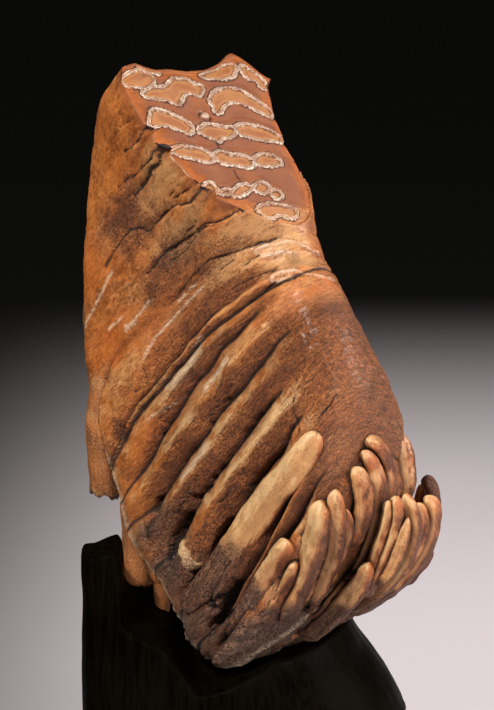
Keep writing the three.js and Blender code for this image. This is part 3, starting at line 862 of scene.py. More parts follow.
def bend_copy(pattern, points, seed, flatness, faces, fold=0):
    """A copy of a straight rod, and where it lies once bent along points. Faces is its thin way."""
    select_only(pattern)
    bpy.ops.object.duplicate()
    copy = bpy.context.object
    straight = place_of(copy)
    share = np.clip(straight[:, 2], 0, 1)
    spine = curve_at(points, share)
    ahead, behind = (curve_at(points, np.clip(share + step, 0, 1)) for step in (0.01, -0.01))
    tangent = unit((ahead - behind)[:, :3])
    wide = unit(np.cross(faces(spine[:, :3]), tangent))
    thin = np.cross(wide, tangent)
    angle = np.arctan2(straight[:, 1], straight[:, 0])
    folds = 1 + fold * np.cos(3 * angle + seed + 2 * share) + 0.5 * fold * np.cos(5 * angle + 2 * seed)
    across = (straight[:, 0] * folds * spine[:, 3])[:, None] * wide
    depth = (straight[:, 1] * folds * spine[:, 3] * flatness)[:, None] * thin
    length = np.linalg.norm(np.diff(points[:, :3], axis=0), axis=1).sum()
    turned = straight[:, :2] * spine[:, 3:]
    store(copy, "tip", share)
    store_flow(copy, np.stack([turned[:, 0], share * length, turned[:, 1] + NOISE_GAP * seed], -1))
    return copy, straight, spine, tangent, spine[:, :3] + across + depth, unit(across + depth + 1e-9)


def bend_finger(points, seed):
    """A finger with folds and lumps of its own, whose base dives into the crown."""
    points = np.array(points, float)
    inward = unit(CROWN_HEART - points[0, :3])
    start = points[0, :3] + DIVE * inward + LEAD * unit(points[0, :3] - points[1, :3])
    points = np.vstack([[*start, points[0, 3]], points])
    copy, straight, spine, _, bent, out = bend_copy(
        straight_finger, points, seed, FINGER_FLATNESS, lambda middle: middle - CROWN_MIDDLE, FOLD)
    share = np.clip(straight[:, 2], 0, 1)
    moves = FINGER_LUMPS[1] * grain(bent, FINGER_LUMPS[0], 3, shift=seed)
    moves += FINGER_GRAIN[1] * grain(bent, FINGER_GRAIN[0], shift=seed)
    moves += FINGER_WRINKLES[1] * grain(bent, FINGER_WRINKLES[0], 2, shift=seed) * smooth(0.5, 0.2, share)
    bent += out * (moves * np.minimum(spine[:, 3] / 6, 1))[:, None]
    set_place(copy, settled(bent))
    store(copy, "shade", np.full(len(share), FINGER_STAIN_AND_SHADE.get(seed, 0.25 * (seed * 0.618 % 1))))
    return copy


def join(copies, name, pattern):
    """Makes one piece of the bent copies, and takes away the straight rod they came from."""
    select_only(*copies)
    bpy.ops.object.join()
    joined = bpy.context.object
    joined.name = name
    joined.data.name = name
    close_shell(joined)
    bpy.data.objects.remove(pattern)
    print(len(copies), name + ",", len(joined.data.polygons), "faces")
    return joined


fingers = join([bend_finger(points, i) for i, points in enumerate(FINGERS)], "fingers", straight_finger)

# %% [markdown]
# ## Broken roots
# The roots grow from the side away from the chewing face. They are smooth, and each one ends where
# it broke off. The same way of working serves again: one straight root, with a blunt ragged end.

# %% The roots
ROOT_SIDES = 40
ROOT_RINGS = 48
ROOT_FLATNESS = 0.72
BLUNT_SHARE = 0.04
RAGGED = 4.5  # millimetres that the broken edge goes up and down
END_HOLLOW = 5
ROOT_LUMPS, ROOT_GRAIN = (16, 0.9), (2.5, 0.12)  # size and height
ROOTS = [
    [(-70, 22, 190, 9), (-72, 24, 165, 12), (-72, 25, 142, 12), (-73, 25, 119, 10)],
    [(-38, 34, 150, 9), (-54, 17, 124, 11), (-54, 14, 104, 12), (-55, 12, 88, 12),
     (-56, 10, 72, 10)],
    [(-30, 10, 118, 8), (-42, -5, 94, 8), (-41, -5, 84, 8), (-41, -5, 75, 8), (-41, -5, 65, 6)],
    [(2, -30, 64, 4), (9, -35, 63, 5), (17, -38, 66, 5), (26, -38, 71, 4)],
    [(-68, 26, 236, 13), (-72, 34, 220, 13), (-74, 40, 206, 12), (-75, 43, 192, 9)],
    [(-46, 38, 284, 13), (-51, 49, 266, 13), (-55, 56, 250, 12), (-57, 59, 234, 9)],
    [(-28, 50, 256, 13), (-33, 61, 240, 13), (-36, 67, 226, 12), (-37, 70, 211, 9)],
    [(-48, 34, 202, 13), (-52, 46, 184, 13), (-54, 53, 168, 12), (-55, 55, 152, 9)],
    [(-28, 46, 180, 14), (-33, 57, 162, 14), (-35, 63, 146, 12), (-35, 65, 129, 9)],
    [(-34, 22, 148, 14), (-38, 31, 126, 13), (-39, 35, 108, 12), (-39, 36, 91, 9)],
    [(-4, 36, 124, 14), (-6, 43, 106, 13), (-6, 46, 92, 11), (-6, 46, 77, 8)],
    [(-10, 4, 96, 13), (-13, 10, 84, 12), (-15, 13, 75, 10), (-16, 14, 65, 8)],
    [(28, 20, 82, 12), (25, 26, 73, 10), (22, 29, 66, 9), (20, 30, 58, 7)],
]
ROOT_FACE = np.array([-0.7, 0.7, 0])


def bend_root(points, seed):
    """A root with slow lumps, and an end that is hollow and ragged where it broke."""
    copy, straight, _, tangent, bent, out = bend_copy(
        straight_root, np.array(points, float), seed, ROOT_FLATNESS, lambda middle: ROOT_FACE)
    share = np.clip(straight[:, 2], 0, 1)
    moves = ROOT_LUMPS[1] * grain(bent, ROOT_LUMPS[0], 2, shift=seed)
    moves += ROOT_GRAIN[1] * grain(bent, ROOT_GRAIN[0], shift=seed)
    bent += out * moves[:, None]
    inward = 1 - np.hypot(straight[:, 0], straight[:, 1])
    ragged = RAGGED * grain(bent * (1, 1, 0), 6, 3, shift=seed) * smooth(0.8, 1, share)
    hollow = END_HOLLOW * smooth(0.1, 0.9, inward) * (share > 0.99)
    set_place(copy, bent - tangent * (ragged + hollow)[:, None])
    return copy


straight_root = draw_rod("straight_root", ROOT_SIDES, ROOT_RINGS, round_end(BLUNT_SHARE, 0.3))
roots = join([bend_root(points, i) for i, points in enumerate(ROOTS)], "roots", straight_root)

# %% [markdown]
# ## Stains, wear and painted light
# The tooth lay in the ground for a very long time, and every part of it took up a different stain.
# The places of the large patches were picked by eye in the photo. A separate program then turned
# them into plates and turns, as it did for the loops, the lines and most of the fingers. Each patch
# has its plate, its turn round the outline, its half sizes along and round, and its strength, all in
# whole numbers. Elsewhere the patches come from noise, so that no side of the tooth is left bare.

# %% Patches of stain
PATCH_UNITS = (10, 100, 100, 1000, 100)  # what each number of a patch is divided by
PATCHES = {
    "tan": [
        (5, 0, 35, 30, 70), (0, 13, 50, 50, 35), (25, 20, 70, 50, 80), (19, 18, 35, 30, 40),
        (26, 22, 30, 20, 50), (37, 22, 45, 40, 90), (35, 19, 30, 40, 60), (45, 29, 45, 70, 100),
        (51, 36, 40, 60, 90), (48, 26, 40, 50, 80), (57, 33, 35, 70, 90), (54, 26, 30, 50, 60),
        (23, 9, 60, 30, 40), (39, 13, 30, 50, 35), (49, 33, 40, 60, 100), (53, 40, 40, 50, 70),
        (52, 29, 30, 50, 70), (60, 38, 35, 70, 90), (63, 32, 30, 50, 60), (70, 38, 40, 50, 50),
        (52, 12, 30, 30, 70), (52, 8, 50, 40, 50), (59, 8, 40, 30, 50), (65, 15, 35, 50, 90),
        (86, 9, 50, 30, 30), (82, 10, 30, 30, 50),
    ],
    "cream": [
        (67, 19, 22, 40, 90), (68, 17, 20, 30, 80), (82, 18, 28, 45, 100), (81, 15, 22, 30, 80),
        (97, 20, 30, 50, 100), (98, 18, 25, 40, 90), (98, 14, 20, 30, 80), (96, 22, 25, 40, 50),
        (108, 24, 40, 50, 90), (109, 22, 35, 50, 80), (108, 19, 30, 40, 80), (110, 26, 30, 30, 70),
        (77, 27, 15, 20, 60), (104, 6, 30, 20, 30),
    ],
    "orange": [
        (19, 16, 60, 50, 60), (5, 12, 80, 50, 60), (24, 12, 50, 60, 70), (38, 25, 30, 40, 60),
        (28, 6, 70, 40, 70), (45, 9, 60, 50, 70), (49, 16, 50, 60, 60), (75, 12, 40, 50, 70),
        (72, 18, 30, 30, 50), (56, 46, 50, 50, 80), (72, 44, 60, 40, 80), (76, 37, 40, 60, 60),
        (74, 30, 60, 60, 35), (109, 39, 100, 60, 70), (92, 37, 80, 50, 50), (126, 40, 80, 50, 60),
        (121, 54, 60, 30, 90), (97, 23, 40, 30, 50), (123, 33, 50, 30, 70), (123, 26, 50, 40, 40),
    ],
    "umber": [
        (25, 13, 50, 50, 80), (30, 16, 30, 40, 70), (40, 19, 50, 50, 80), (40, 17, 30, 40, 60),
        (49, 22, 60, 60, 70), (45, 24, 30, 30, 50), (50, 20, 50, 60, 70), (52, 23, 50, 50, 70),
        (86, 39, 50, 40, 80), (93, 29, 50, 50, 80), (99, 27, 40, 40, 70), (123, 42, 50, 40, 70),
        (127, 46, 40, 30, 60), (86, 23, 35, 50, 80), (67, 20, 35, 60, 70), (97, 24, 50, 40, 70),
        (70, 27, 25, 30, 70), (103, 12, 50, 30, 90), (105, 11, 40, 30, 80), (65, 7, 30, 15, 90),
    ],
    "mauve": [
        (101, 7, 60, 50, 80), (111, 6, 80, 50, 100), (121, 14, 60, 50, 90), (121, 16, 50, 40, 80),
        (122, 9, 80, 60, 100), (123, 14, 60, 40, 70), (125, 1, 100, 60, 100), (116, 7, 80, 50, 80),
        (138, 5, 120, 100, 100),
    ],
}
print(sum(map(len, PATCHES.values())), "patches")

# %% How much of each stain the crown has
crown_places = place_of(crown)
number = PLATE_COUNT * row_station[body_row]
turn = row_turn[body_row, column_of] % 1
height = place[body_row, column_of, 0]
from_base = (turn + 0.1) % 1 - 0.1  # the turn, but negative on the last tenth
shifted = number + 0.28 * grain(crown_places, 9, 3)
moved = from_base + 0.014 * grain(crown_places, 9, 3, shift=8)


def patch_share(patches):
    """How much of a patch each crown point has, from 0 to 1, with ragged edges."""
    best = np.zeros(len(number))
    for middle, about, half, half_turn, strength in np.array(patches) / PATCH_UNITS:
        far = ((shifted - middle) / half) ** 2 + ((moved - about) / half_turn) ** 2
        best = np.maximum(best, strength * np.exp(-far))
    return best


shares = {name: patch_share(patches) for name, patches in PATCHES.items()}
seen_side = smooth(-0.08, 0.0, from_base) * smooth(0.62, 0.5, turn)
WILD = [  # stain, size of its patches, where in the noise they begin and are full, and their strength
    ("tan", 24, 0.05, 0.5, 0.7), ("orange", 30, 0, 0.5, 0.8),
    ("umber", 18, 0.15, 0.55, 0.8), ("cream", 16, 0.25, 0.6, 0.7),
]
for k, (name, size, low, high, most) in enumerate(WILD):
    wild = most * smooth(low, high, grain(crown_places, size, 3, shift=20 + 5 * k))
    shares[name] = np.maximum(shares[name], wild * (1 - 0.65 * seen_side))
print("patches and wild stains laid out")

# %% [markdown]
# The flank of a ridge that faces up and left, towards the key lamp, is painted pale as painted highlight,
# and the other flank is painted dark as painted shade.

# %% Painted light and shade on the flanks of the ridges
ridge_at = across_ridge[body_row, column_of]
on_ridges = smooth(3.2, 5.5, number) * smooth(0.98, 0.85, height) * (turn < 0.5)
painted_lit_flank = smooth(0.04, 0.14, ridge_at) * smooth(0.62, 0.38, ridge_at) * on_ridges
painted_shade_flank = smooth(0.42, 0.66, ridge_at) * smooth(1.0, 0.93, ridge_at) * on_ridges
painted_shade_flank *= smooth(0.05, 0.4, height + 0.08 * (number - 8))
flank_noise = smooth(-0.55, 0.25, grain(crown_places, 12, 3, shift=31))
# Painted highlight: tan and cream on the lit flanks. Painted shade: umber on the dark flanks.
shares["tan"] = np.maximum(shares["tan"] * (1 - 0.6 * painted_shade_flank), 0.55 * painted_lit_flank * flank_noise)
pale = smooth(6, 8, number) * smooth(-0.1, 0.5, grain(crown_places, 13, 2, shift=37))
shares["cream"] = np.maximum(shares["cream"] * (1 - 0.8 * painted_shade_flank), 0.55 * painted_lit_flank * pale)
shares["umber"] = np.maximum(shares["umber"] * (1 - 0.6 * painted_lit_flank), 0.6 * painted_shade_flank * flank_noise)
low_end = smooth(10.5, 13.5, number) * smooth(0.45, 0.15, height)
shares["mauve"] = np.maximum(shares["mauve"], low_end)
print("stains on the crown:", {name: round(float(values.mean()), 2) for name, values in shares.items()})

# %% [markdown]
# Fine cracks and white streaks are lines rather than patches, and so are the deeper holes between
# the lower ends of the ridges. Each one is a row of places on the crown, by plate and turn. Its
# points are joined by a smooth curve, and the distance from that curve opens it or lays down chalk.

# %% Cracks and chalk lines
LINE_UNITS = (100, 1000)  # the lines are in hundredths of a plate and thousandths of a turn
CRACKS = [
    [(166, 220), (168, 206), (173, 196), (168, 184), (157, 163)],
    [(131, 202), (124, 186), (117, 170), (114, 145), (117, 121)],
    [(216, 223), (217, 214), (220, 200), (212, 181), (203, 157), (198, 133)],
    [(210, 320), (214, 250), (222, 216), (233, 207), (231, 196), (235, 180), (235, 154)],
    [(312, 340), (316, 280), (318, 240), (312, 225), (305, 209)],
    [(295, 223), (296, 214), (294, 204)],
    [(326, 280), (337, 247), (339, 234), (328, 221), (314, 207), (309, 190), (310, 176),
     (310, 165), (295, 153), (287, 140), (291, 125), (298, 112), (310, 94)],
    [(406, 320), (406, 280), (402, 262), (392, 247), (384, 228), (378, 210), (374, 196),
     (370, 183), (378, 170), (381, 158)],
    [(368, 228), (371, 218), (371, 208)],
    [(403, 253), (391, 236), (389, 222), (395, 209), (394, 196), (391, 187)],
    [(495, 340), (486, 300), (472, 268), (460, 247), (451, 232), (451, 218), (454, 205),
     (460, 194), (465, 183)],
    [(515, 300), (515, 284), (517, 270), (522, 262)],
    [(486, 264), (487, 253), (485, 243)],
    [(585, 320), (571, 289), (560, 268), (554, 250), (564, 236)],
    [(632, 310), (633, 290), (637, 274), (633, 260)],
    [(1180, 51), (1215, 68), (1260, 90), (1284, 107), (1315, 83), (1330, 60), (1400, 60)],
    [(1094, 54), (1142, 66), (1174, 57), (1203, 50)],
    [(790, 208), (820, 204), (860, 204), (860, 196), (860, 188), (870, 180)],
    [(680, 164), (690, 156), (700, 148), (720, 144), (720, 132), (750, 136), (750, 124)],
    [(540, 140), (570, 136), (590, 136), (600, 128), (590, 116)],
    [(810, 216), (840, 212), (870, 212)],
    [(820, 164), (840, 172), (890, 180), (920, 184)],
    [(1050, 156), (1040, 140), (1040, 132), (1010, 128), (1000, 136)],
    [(1080, 276), (1110, 268), (1150, 268), (1190, 268), (1190, 256)],
    [(1190, 344), (1210, 328), (1210, 312), (1220, 304)],
    [(620, 72), (650, 76), (660, 68), (650, 80)],
    [(1020, 112), (1020, 120), (1030, 104), (1040, 104)],
    [(1000, 116), (1030, 128), (1050, 132)],
    [(1100, 152), (1110, 164), (1100, 180), (1090, 188)],
    [(1100, 460), (1140, 472), (1170, 476)],
    [(1095, 108), (1098, 108)],
    [(1115, 120), (1118, 120)],
    [(1150, 124), (1153, 125)],
]
CRACK_WIDTHS = [0.75, 0.4, 0.55, 1.0, 0.45, 0.45, 0.8, 0.7, 0.45, 0.5, 0.65]
CRACK_WIDTHS += [0.5] * (len(CRACKS) - 14) + [1.2, 0.9, 1.2]  # the last three are pits
HOLES = [
    [(1163, 89), (1174, 80), (1186, 68), (1200, 57)],
    [(1310, 125), (1320, 104), (1340, 90), (1343, 74)],
    [(1152, 149), (1158, 122), (1172, 103)],
    [(1052, 108), (1061, 89), (1072, 74)],
    [(950, 86), (986, 60), (1019, 52)],
    [(1076, 66), (1083, 58)],
    [(1032, 128), (1034, 127)],
    [(1290, 104), (1330, 106), (1370, 106)],
    [(1203, 77), (1255, 92), (1290, 88)],
]
HOLE_WIDTHS = [2.6, 3.0, 1.8, 2.4, 1.9, 2.0, 1.2, 2.8, 1.6]
HOLE_DEPTH = 4.2
CHIP_WIDTH = 3.4
CHIP = [[(1099, 94), (1118, 93), (1145, 91)]]
CHALK_LINES = [
    [(620, 204), (650, 188), (660, 168), (650, 156)],
    [(750, 220), (760, 208), (770, 192)],
    [(950, 172), (960, 152), (960, 132)],
    [(330, 112), (360, 72), (380, 8)],
    [(430, 160), (440, 144), (450, 124)],
    [(490, 220), (500, 192), (510, 164), (520, 152), (540, 140)],
    [(470, 212), (470, 204), (480, 192)],
    [(420, 120), (420, 96)],
    [(440, 124), (450, 136)],
    [(720, 156), (700, 136), (690, 120)],
]
ENAMEL_LINES = [
    [(505, 296), (495, 308), (500, 324), (510, 340), (515, 356), (530, 380), (545, 396),
     (560, 420), (570, 444)],
    [(505, 296), (525, 304), (535, 320), (535, 332), (545, 348), (560, 364), (570, 380)],
    [(605, 304), (605, 316), (615, 336), (635, 352), (660, 368), (680, 384), (705, 412),
     (720, 448)],
    [(605, 304), (630, 308), (640, 324), (655, 340)],
]
CHALK_WIDTHS = [2.2, 1.5, 1.8, 0.62, 0.55, 0.58, 0.55, 0.65, 0.6, 0.5]
CRACK_DEPTH = 1.2
DOTS = 24  # for each point of a line
print(len(CRACKS), "cracks,", len(CHALK_LINES), "chalk lines and", len(ENAMEL_LINES), "lines of enamel")

# %% [markdown]
# Each line becomes a row of dots on the crown. A point that is near a dot moves in along its
# normal, so that the crack is a real dent, and the lower edge of the crown gets a thin lip.

# %% Opening the cracks
def from_lines(lines, widths, places):
    """Each place's distance from the nearest line, in widths of that line."""
    dots, dot_widths = [], []
    for line, width in zip(lines, widths):
        even = curve_at(np.array(line) / LINE_UNITS, np.linspace(0, 1, DOTS * len(line)))
        dots += [*outline_at(even[:, 0] / PLATE_COUNT, even[:, 1])[0]]
        dot_widths += [width] * len(even)
    nearest, gap = nearest_of(dots, places)
    return gap / np.array(dot_widths)[nearest]


surface_places = surface[body_row, column_of]
wobble = np.stack([grain(surface_places, 4, 2, shift=k) for k in (1, 4, 7)], -1) * 0.9
crack_gaps = from_lines(CRACKS, CRACK_WIDTHS, surface_places + wobble * 0.5)
crack_line = hump(crack_gaps, 1)
hole = hump(from_lines(HOLES, HOLE_WIDTHS, surface_places + wobble), 1)
chip = smooth(0.3, 0.55, hump(from_lines(CHIP, [CHIP_WIDTH], surface_places + wobble), 1))
chalk_line = hump(from_lines(CHALK_LINES, CHALK_WIDTHS, surface_places + wobble * 0.45), 1)
chalk_line *= smooth(-0.8, -0.3, grain(crown_places, 4, 2, shift=6))
normals = vectors_of(crown, "normal")
past_base = (turn + 0.5) % 1 - 0.5  # the turn, but negative on the second half
lip = 1.3 * hump(past_base - 0.002, 0.009) * smooth(4, 7, number)
lip += 0.9 * chip - HOLE_DEPTH * hole * (1 - chip)
crown_places += normals * (lip - CRACK_DEPTH * crack_line)[:, None]
set_place(crown, crown_places)
print("the deepest hole goes down", round(float(-lip.min()), 1), "mm")

# %% Stains along the lines
# Painted shade: the deep holes take the crack share, so they are painted near black like the cracks.
shares["crack"] = np.maximum(0.9 * hole * (1 - chip), 0.9 * crack_share[body_row, column_of])
shares["chalk"] = np.maximum(chalk_line, 0.25 * chip)
for name in ("umber", "mauve", "orange"):
    shares[name] *= 1 - chip
shares["cream"] = np.maximum(shares["cream"], chip)
# The leathery skin's share also carries painted shade on the dark flanks.
shares["leather"] = np.maximum(skin[body_row, column_of] * (1 - 0.5 * painted_lit_flank), 0.7 * painted_shade_flank)
base_rim = hump(past_base - 0.004, 0.012) * smooth(4, 7, number)
base_rim *= smooth(-0.8, -0.1, grain(crown_places, 5, 2))
shares["chalk"] = np.maximum(shares["chalk"], 0.9 * base_rim)
beside = from_lines(ENAMEL_LINES, [0.75] * len(ENAMEL_LINES), surface_places + 0.6 * wobble)
rings_seen = hump(beside, 1) * smooth(-0.6, -0.2, grain(crown_places, 5, 2, shift=12))
dark_line = hump(beside - 2.1, 0.6) * smooth(-0.4, 0.3, grain(crown_places, 5, 2, shift=15))
shares["crack"] = np.maximum(shares["crack"], 0.75 * dark_line)
for name, values in shares.items():
    store(crown, name, values)
crown_places += normals * (0.8 * rings_seen - 0.6 * dark_line)[:, None]
set_place(crown, crown_places)
store(crown, "enamel", 0.8 * rings_seen)
store(crown, "seam", np.minimum(crack_gaps, FAR))
store(crown, "rim", np.full(len(number), FAR))
store(crown, "dentine", np.zeros(len(number)))
border_gap = np.maximum(-above_face(crown_places), 0) + 2 * np.maximum(grain(crown_places, 6, 2), 0)
down_face = (crown_places - FACE_POINT) @ FACE_DOWN
store(crown, "cement", 0.8 * hump(border_gap, 6) * smooth(93, 83, down_face) * (number < 8))
beyond = ring_of - FRONT_RINGS - body_row  # rings past the first or the last plate
store_flow(crown, np.stack([number * 20 + 2.2 * beyond, turn * 360, height * 40], -1))
print("stains stored:", ", ".join(shares))

# %% [markdown]
# The other pieces wear the same material, so they need the same shares stored on them. A finger's
# painted light and shade is found from its normals: the sides that face up and left, towards the
# key lamp, are painted pale as painted highlight, and the sides that face away are painted orange
# and umber as painted shade.

# %% Stains of the worn face
def fill_shares(piece, **given):
    """Stores the given shares, and 0 for every other stain that the material reads."""
    count = len(piece.data.vertices)
    for name in [*PATCHES, "crack", "chalk", "leather", "enamel", "dentine", "cement", "rim", "seam"]:
        if name not in piece.data.attributes:
            store(piece, name, given.get(name, np.full(count, FAR if name in ("rim", "seam") else 0)))


raised = place_of(worn_face)
over, down = (raised - FACE_POINT) @ FACE_ACROSS, (raised - FACE_POINT) @ FACE_DOWN
store_flow(worn_face, np.stack([down, over, 0 * down], -1))
lower_end = smooth(86, 92, down + 2.5 * grain(raised, 7, 3) - 0.12 * (over - 20))
near_border = smooth(8, 1, to_border + 3 * grain(raised, 8, 2, shift=4))
rusty = np.maximum(0.8 * near_border, 0.35 * smooth(0, 0.5, grain(raised, 15, 2)))
fill_shares(
    worn_face,
    cement=(1 - lower_end) * (1 - 0.55 * near_border),
    tan=0.5 * lower_end,
    orange=rusty * (1 - 0.5 * lower_end),
)
print("worn face stained")

# %% Stains of the fingers and roots, and painted light and shade on the fingers
PAINTED_LIGHT_SIDE = unit(np.array([-0.6, -0.35, 0.72]))  # the way the sides of a finger that are painted pale, as painted highlight, face
MAUVE_TOP, MAUVE_RISE = (101, 80), 28  # millimetres up, and how much higher it climbs on the left

finger_places = place_of(fingers)
tip = read(fingers, "tip")
shade_of = read(fingers, "shade")
left_end = MAUVE_RISE * smooth(14, -4, finger_places[:, 0])
low_part = smooth(*MAUVE_TOP, finger_places[:, 2] - left_end + 9 * grain(finger_places, 14, 2))
finger_flow = finger_places * (1, 1, 0.3)
# Painted light: a finger is paler where it faces the key lamp, and orange and umber where it faces away,
# as painted shade.
painted_light_facing = vectors_of(fingers, "normal") @ PAINTED_LIGHT_SIDE + 0.35 * grain(finger_flow, 4, 3, shift=14)
streaks = smooth(0.05, 0.4, grain(finger_places * (1, 1, 0.22), 3.2, 3, shift=44))
painted_lit = smooth(0.2, 0.8, painted_light_facing) * smooth(0.15, 0.55, tip + 0.3 * grain(finger_flow, 9, 3))
fill_shares(
    fingers,
    cream=painted_lit * (1 - low_part) * (1 - shade_of),
    orange=0.6 * smooth(0.3, -0.2, painted_light_facing) + 0.35 * smooth(0.86, 0.98, tip),
    tan=0.85 * smooth(-0.45, 0.2, painted_light_facing) * (1 - shade_of),
    umber=np.maximum.reduce([
        0.8 * smooth(0.1, -0.5, painted_light_facing) * smooth(1.0, 0.7, tip), 0.9 * smooth(0.36, 0.08, tip),
        0.2 * streaks * smooth(1.0, 0.9, tip), smooth(0.3, 1, shade_of),
    ]),
    mauve=low_part,
    leather=0.7 * low_part,
)
root_places = place_of(roots)
root_tip = read(roots, "tip")
fill_shares(
    roots,
    orange=0.6 * smooth(-0.3, 0.4, grain(root_places, 20, 2)),
    tan=0.6 * smooth(0.0, 0.5, grain(root_places, 16, 2, shift=3)) + 0.5 * smooth(0.9, 1, root_tip),
    umber=0.3 + 0.5 * smooth(-0.1, 0.5, grain(root_places * (1, 1, 0.3), 7, 3, shift=9)),
    dentine=np.full(len(root_places), 0.4),
)
print("all tooth pieces have their stains")

# %% [markdown]
# Dirt gathers where a finger could not reach to wipe it off, and shade falls in the same hollows, so
# both are painted from one measure. From each point, short rays are sent out over the surface. The
# more of them that hit something near, the deeper the point lies.

# %% Painted shade and dirt in the hollows
RAY_LENGTH = 13
FINGER_SHADE_AND_DIRT = 1.12  # how much more painted shade and dirt lies between the fingers
RAYS = [(0, 0, 1)] + [(x * 0.75, y * 0.75, 0.66) for x, y in ((1, 0), (-1, 0), (0, 1), (0, -1))]
RAYS += [(x * 0.63, y * 0.63, 0.45) for x, y in ((1, 1), (-1, 1), (1, -1), (-1, -1))]
tooth = [crown, worn_face, fingers, roots]
all_places, all_faces, first = [], [], 0
for piece in tooth:
    all_places.append(place_of(piece))
    all_faces += [[first + v for v in face.vertices] for face in piece.data.polygons]
    first += len(piece.data.vertices)
shell = BVHTree.FromPolygons(np.vstack(all_places).tolist(), all_faces)
for piece, places in zip(tooth, all_places):
    normals = vectors_of(piece, "normal")
    side = unit(np.cross(normals, (0.3, 0.5, 0.81)))
    other = np.cross(normals, side)
    closed = np.zeros(len(places))
    for x, y, z in RAYS:
        ways = side * x + other * y + normals * z
        for i, (start, way) in enumerate(zip(places + normals * 0.15, ways)):
            gap = shell.ray_cast(start, way, RAY_LENGTH)[3]
            if gap is not None:
                closed[i] += 1 - gap / RAY_LENGTH
    closed *= FINGER_SHADE_AND_DIRT if piece == fingers else 1
    store(piece, "hollow", closed / len(RAYS))
    print(piece.name, "is", round(float(closed.mean() / len(RAYS)), 2), "closed in")

# %% [markdown]
# ## The stand
# The stand is one dark block, carved to hold the tooth. Its plain solid already has the right seat, so
# a copy is merged, remeshed into small even faces and smoothed, which takes the corners off like
# sandpaper, and then given the slow waves that a gouge leaves.

# %% Carving the stand
STAND_VOXEL = 1.8
GOUGE = (30, 0.9)
SANDING = 6  # rounds of smoothing
POST_HEIGHT, POST_BACK = (80, 108), (30, 0)  # where the front post is: above, and in front of
POST_SINK, POST_RISE, POST_SHIFT = 3.3, 1.6, 4.5  # its left end, its right end, and its top

select_only(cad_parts["stand"])
bpy.ops.object.duplicate()
stand = bpy.context.object
stand.name = "carved_stand"
for key in list(stand.keys()):
    del stand[key]
stand.parent = None
close_shell(stand, 1e-6)
remesh = stand.modifiers.new("even faces", "REMESH")
remesh.mode = "VOXEL"
remesh.voxel_size = STAND_VOXEL * MM
bpy.ops.object.modifier_apply(modifier="even faces")
sanded = stand.modifiers.new("sanded", "SMOOTH")
sanded.factor = 0.5
sanded.iterations = SANDING
bpy.ops.object.modifier_apply(modifier="sanded")
stand_places = place_of(stand)
waves = GOUGE[1] * grain(stand_places, GOUGE[0], 2) - 0.3
waves *= smooth(0.5, 6, stand_places[:, 2])
stand_places += vectors_of(stand, "normal") * waves[:, None]
x, y, z = stand_places.T
post_part = smooth(*POST_HEIGHT, z) * smooth(*POST_BACK, y)
sunk = POST_SINK * smooth(-68, -82, x) - POST_RISE * smooth(-78, -66, x)
sunk = sunk + 1.2 * grain(stand_places * (1, 1, 0), 7, 2)
stand_places[:, 2] -= post_part * sunk
stand_places[:, 0] += POST_SHIFT * post_part * smooth(-80, -68, x)
set_place(stand, stand_places)
bpy.ops.object.shade_smooth()
print("stand has", len(stand.data.polygons), "faces")

# %% [markdown]
# ## Materials
# A material is a chain of layers, from the clean tooth at the bottom to the painted shade and dirt on
# top. Each layer is a colour, laid on where its stain or painted light is stored in the mesh, with an
# edge that fine noise breaks up.
# A few helpers keep the chain short to read.

# %% Colours and nodes
SCREEN_KNEE = 10  # of 255: below this, a screen's curve is a straight line


def paint(red, green, blue):
    """A colour from 0-255 screen values, as the light values that a shader wants."""
    return [
        ((c / 255 + 0.055) / 1.055) ** 2.4 if c > SCREEN_KNEE else c / 255 / 12.92
        for c in (red, green, blue)
    ] + [1]


def give(made, **values):
    """Puts numbers, or the outputs of other nodes, into a node's inputs. _0 is its first input."""
    for name, value in values.items():
        socket = made.inputs[int(name[1:]) if name[0] == "_" else name.replace("_", " ")]
        if isinstance(value, bpy.types.NodeSocket):
            tree.links.new(value, socket)
        else:
            socket.default_value = value


def node(kind, settings=None, **values):
    """Adds a node. Settings are its own choices, and values go to its inputs."""
    made = tree.nodes.new(kind)
    for name, value in (settings or {}).items():
        setattr(made, name, value)
    give(made, **values)
    return made


def new_material(name):
    """Starts a material, which the nodes made from here on belong to."""
    global tree
    material = bpy.data.materials.new(name)
    material.use_nodes = True
    tree = material.node_tree
    place_in = node("ShaderNodeTexCoord").outputs["Object"]
    return material, tree.nodes["Principled BSDF"], place_in


def dress(material, *pieces):
    """Gives each piece this material and no other."""
    for piece in pieces:
        piece.data.materials.clear()
        piece.data.materials.append(material)


print("colours and nodes ready")

# %% [markdown]
# Node trees are easier to write when each kind of node has a short name. A rise is a soft ramp,
# and a band is a narrow strip of it.

# %% Sums and layers made of nodes
def count(operation, first, second=0.0):
    """One step of arithmetic on numbers or other nodes' outputs."""
    return node("ShaderNodeMath", {"operation": operation}, _0=first, _1=second).outputs[0]


def plus(first, second):
    return count("ADD", first, second)


def minus(first, second):
    return count("SUBTRACT", first, second)


def times(first, second):
    return count("MULTIPLY", first, second)


def larger(first, second):
    return count("MAXIMUM", first, second)


def away(value, middle):
    """How far a value is from the middle."""
    return count("ABSOLUTE", minus(value, middle))


def rise(value, low, high, bottom=0.0, top=1.0):
    """Goes softly from bottom to top as the value goes from low to high."""
    return node("ShaderNodeMapRange", {"interpolation_type": "SMOOTHSTEP"}, Value=value,
                From_Min=low, From_Max=high, To_Min=bottom, To_Max=top).outputs[0]


def stored(name, output="Fac"):
    """What the mesh keeps at each vertex under this name."""
    return node("ShaderNodeAttribute", {"attribute_name": name}).outputs[output]


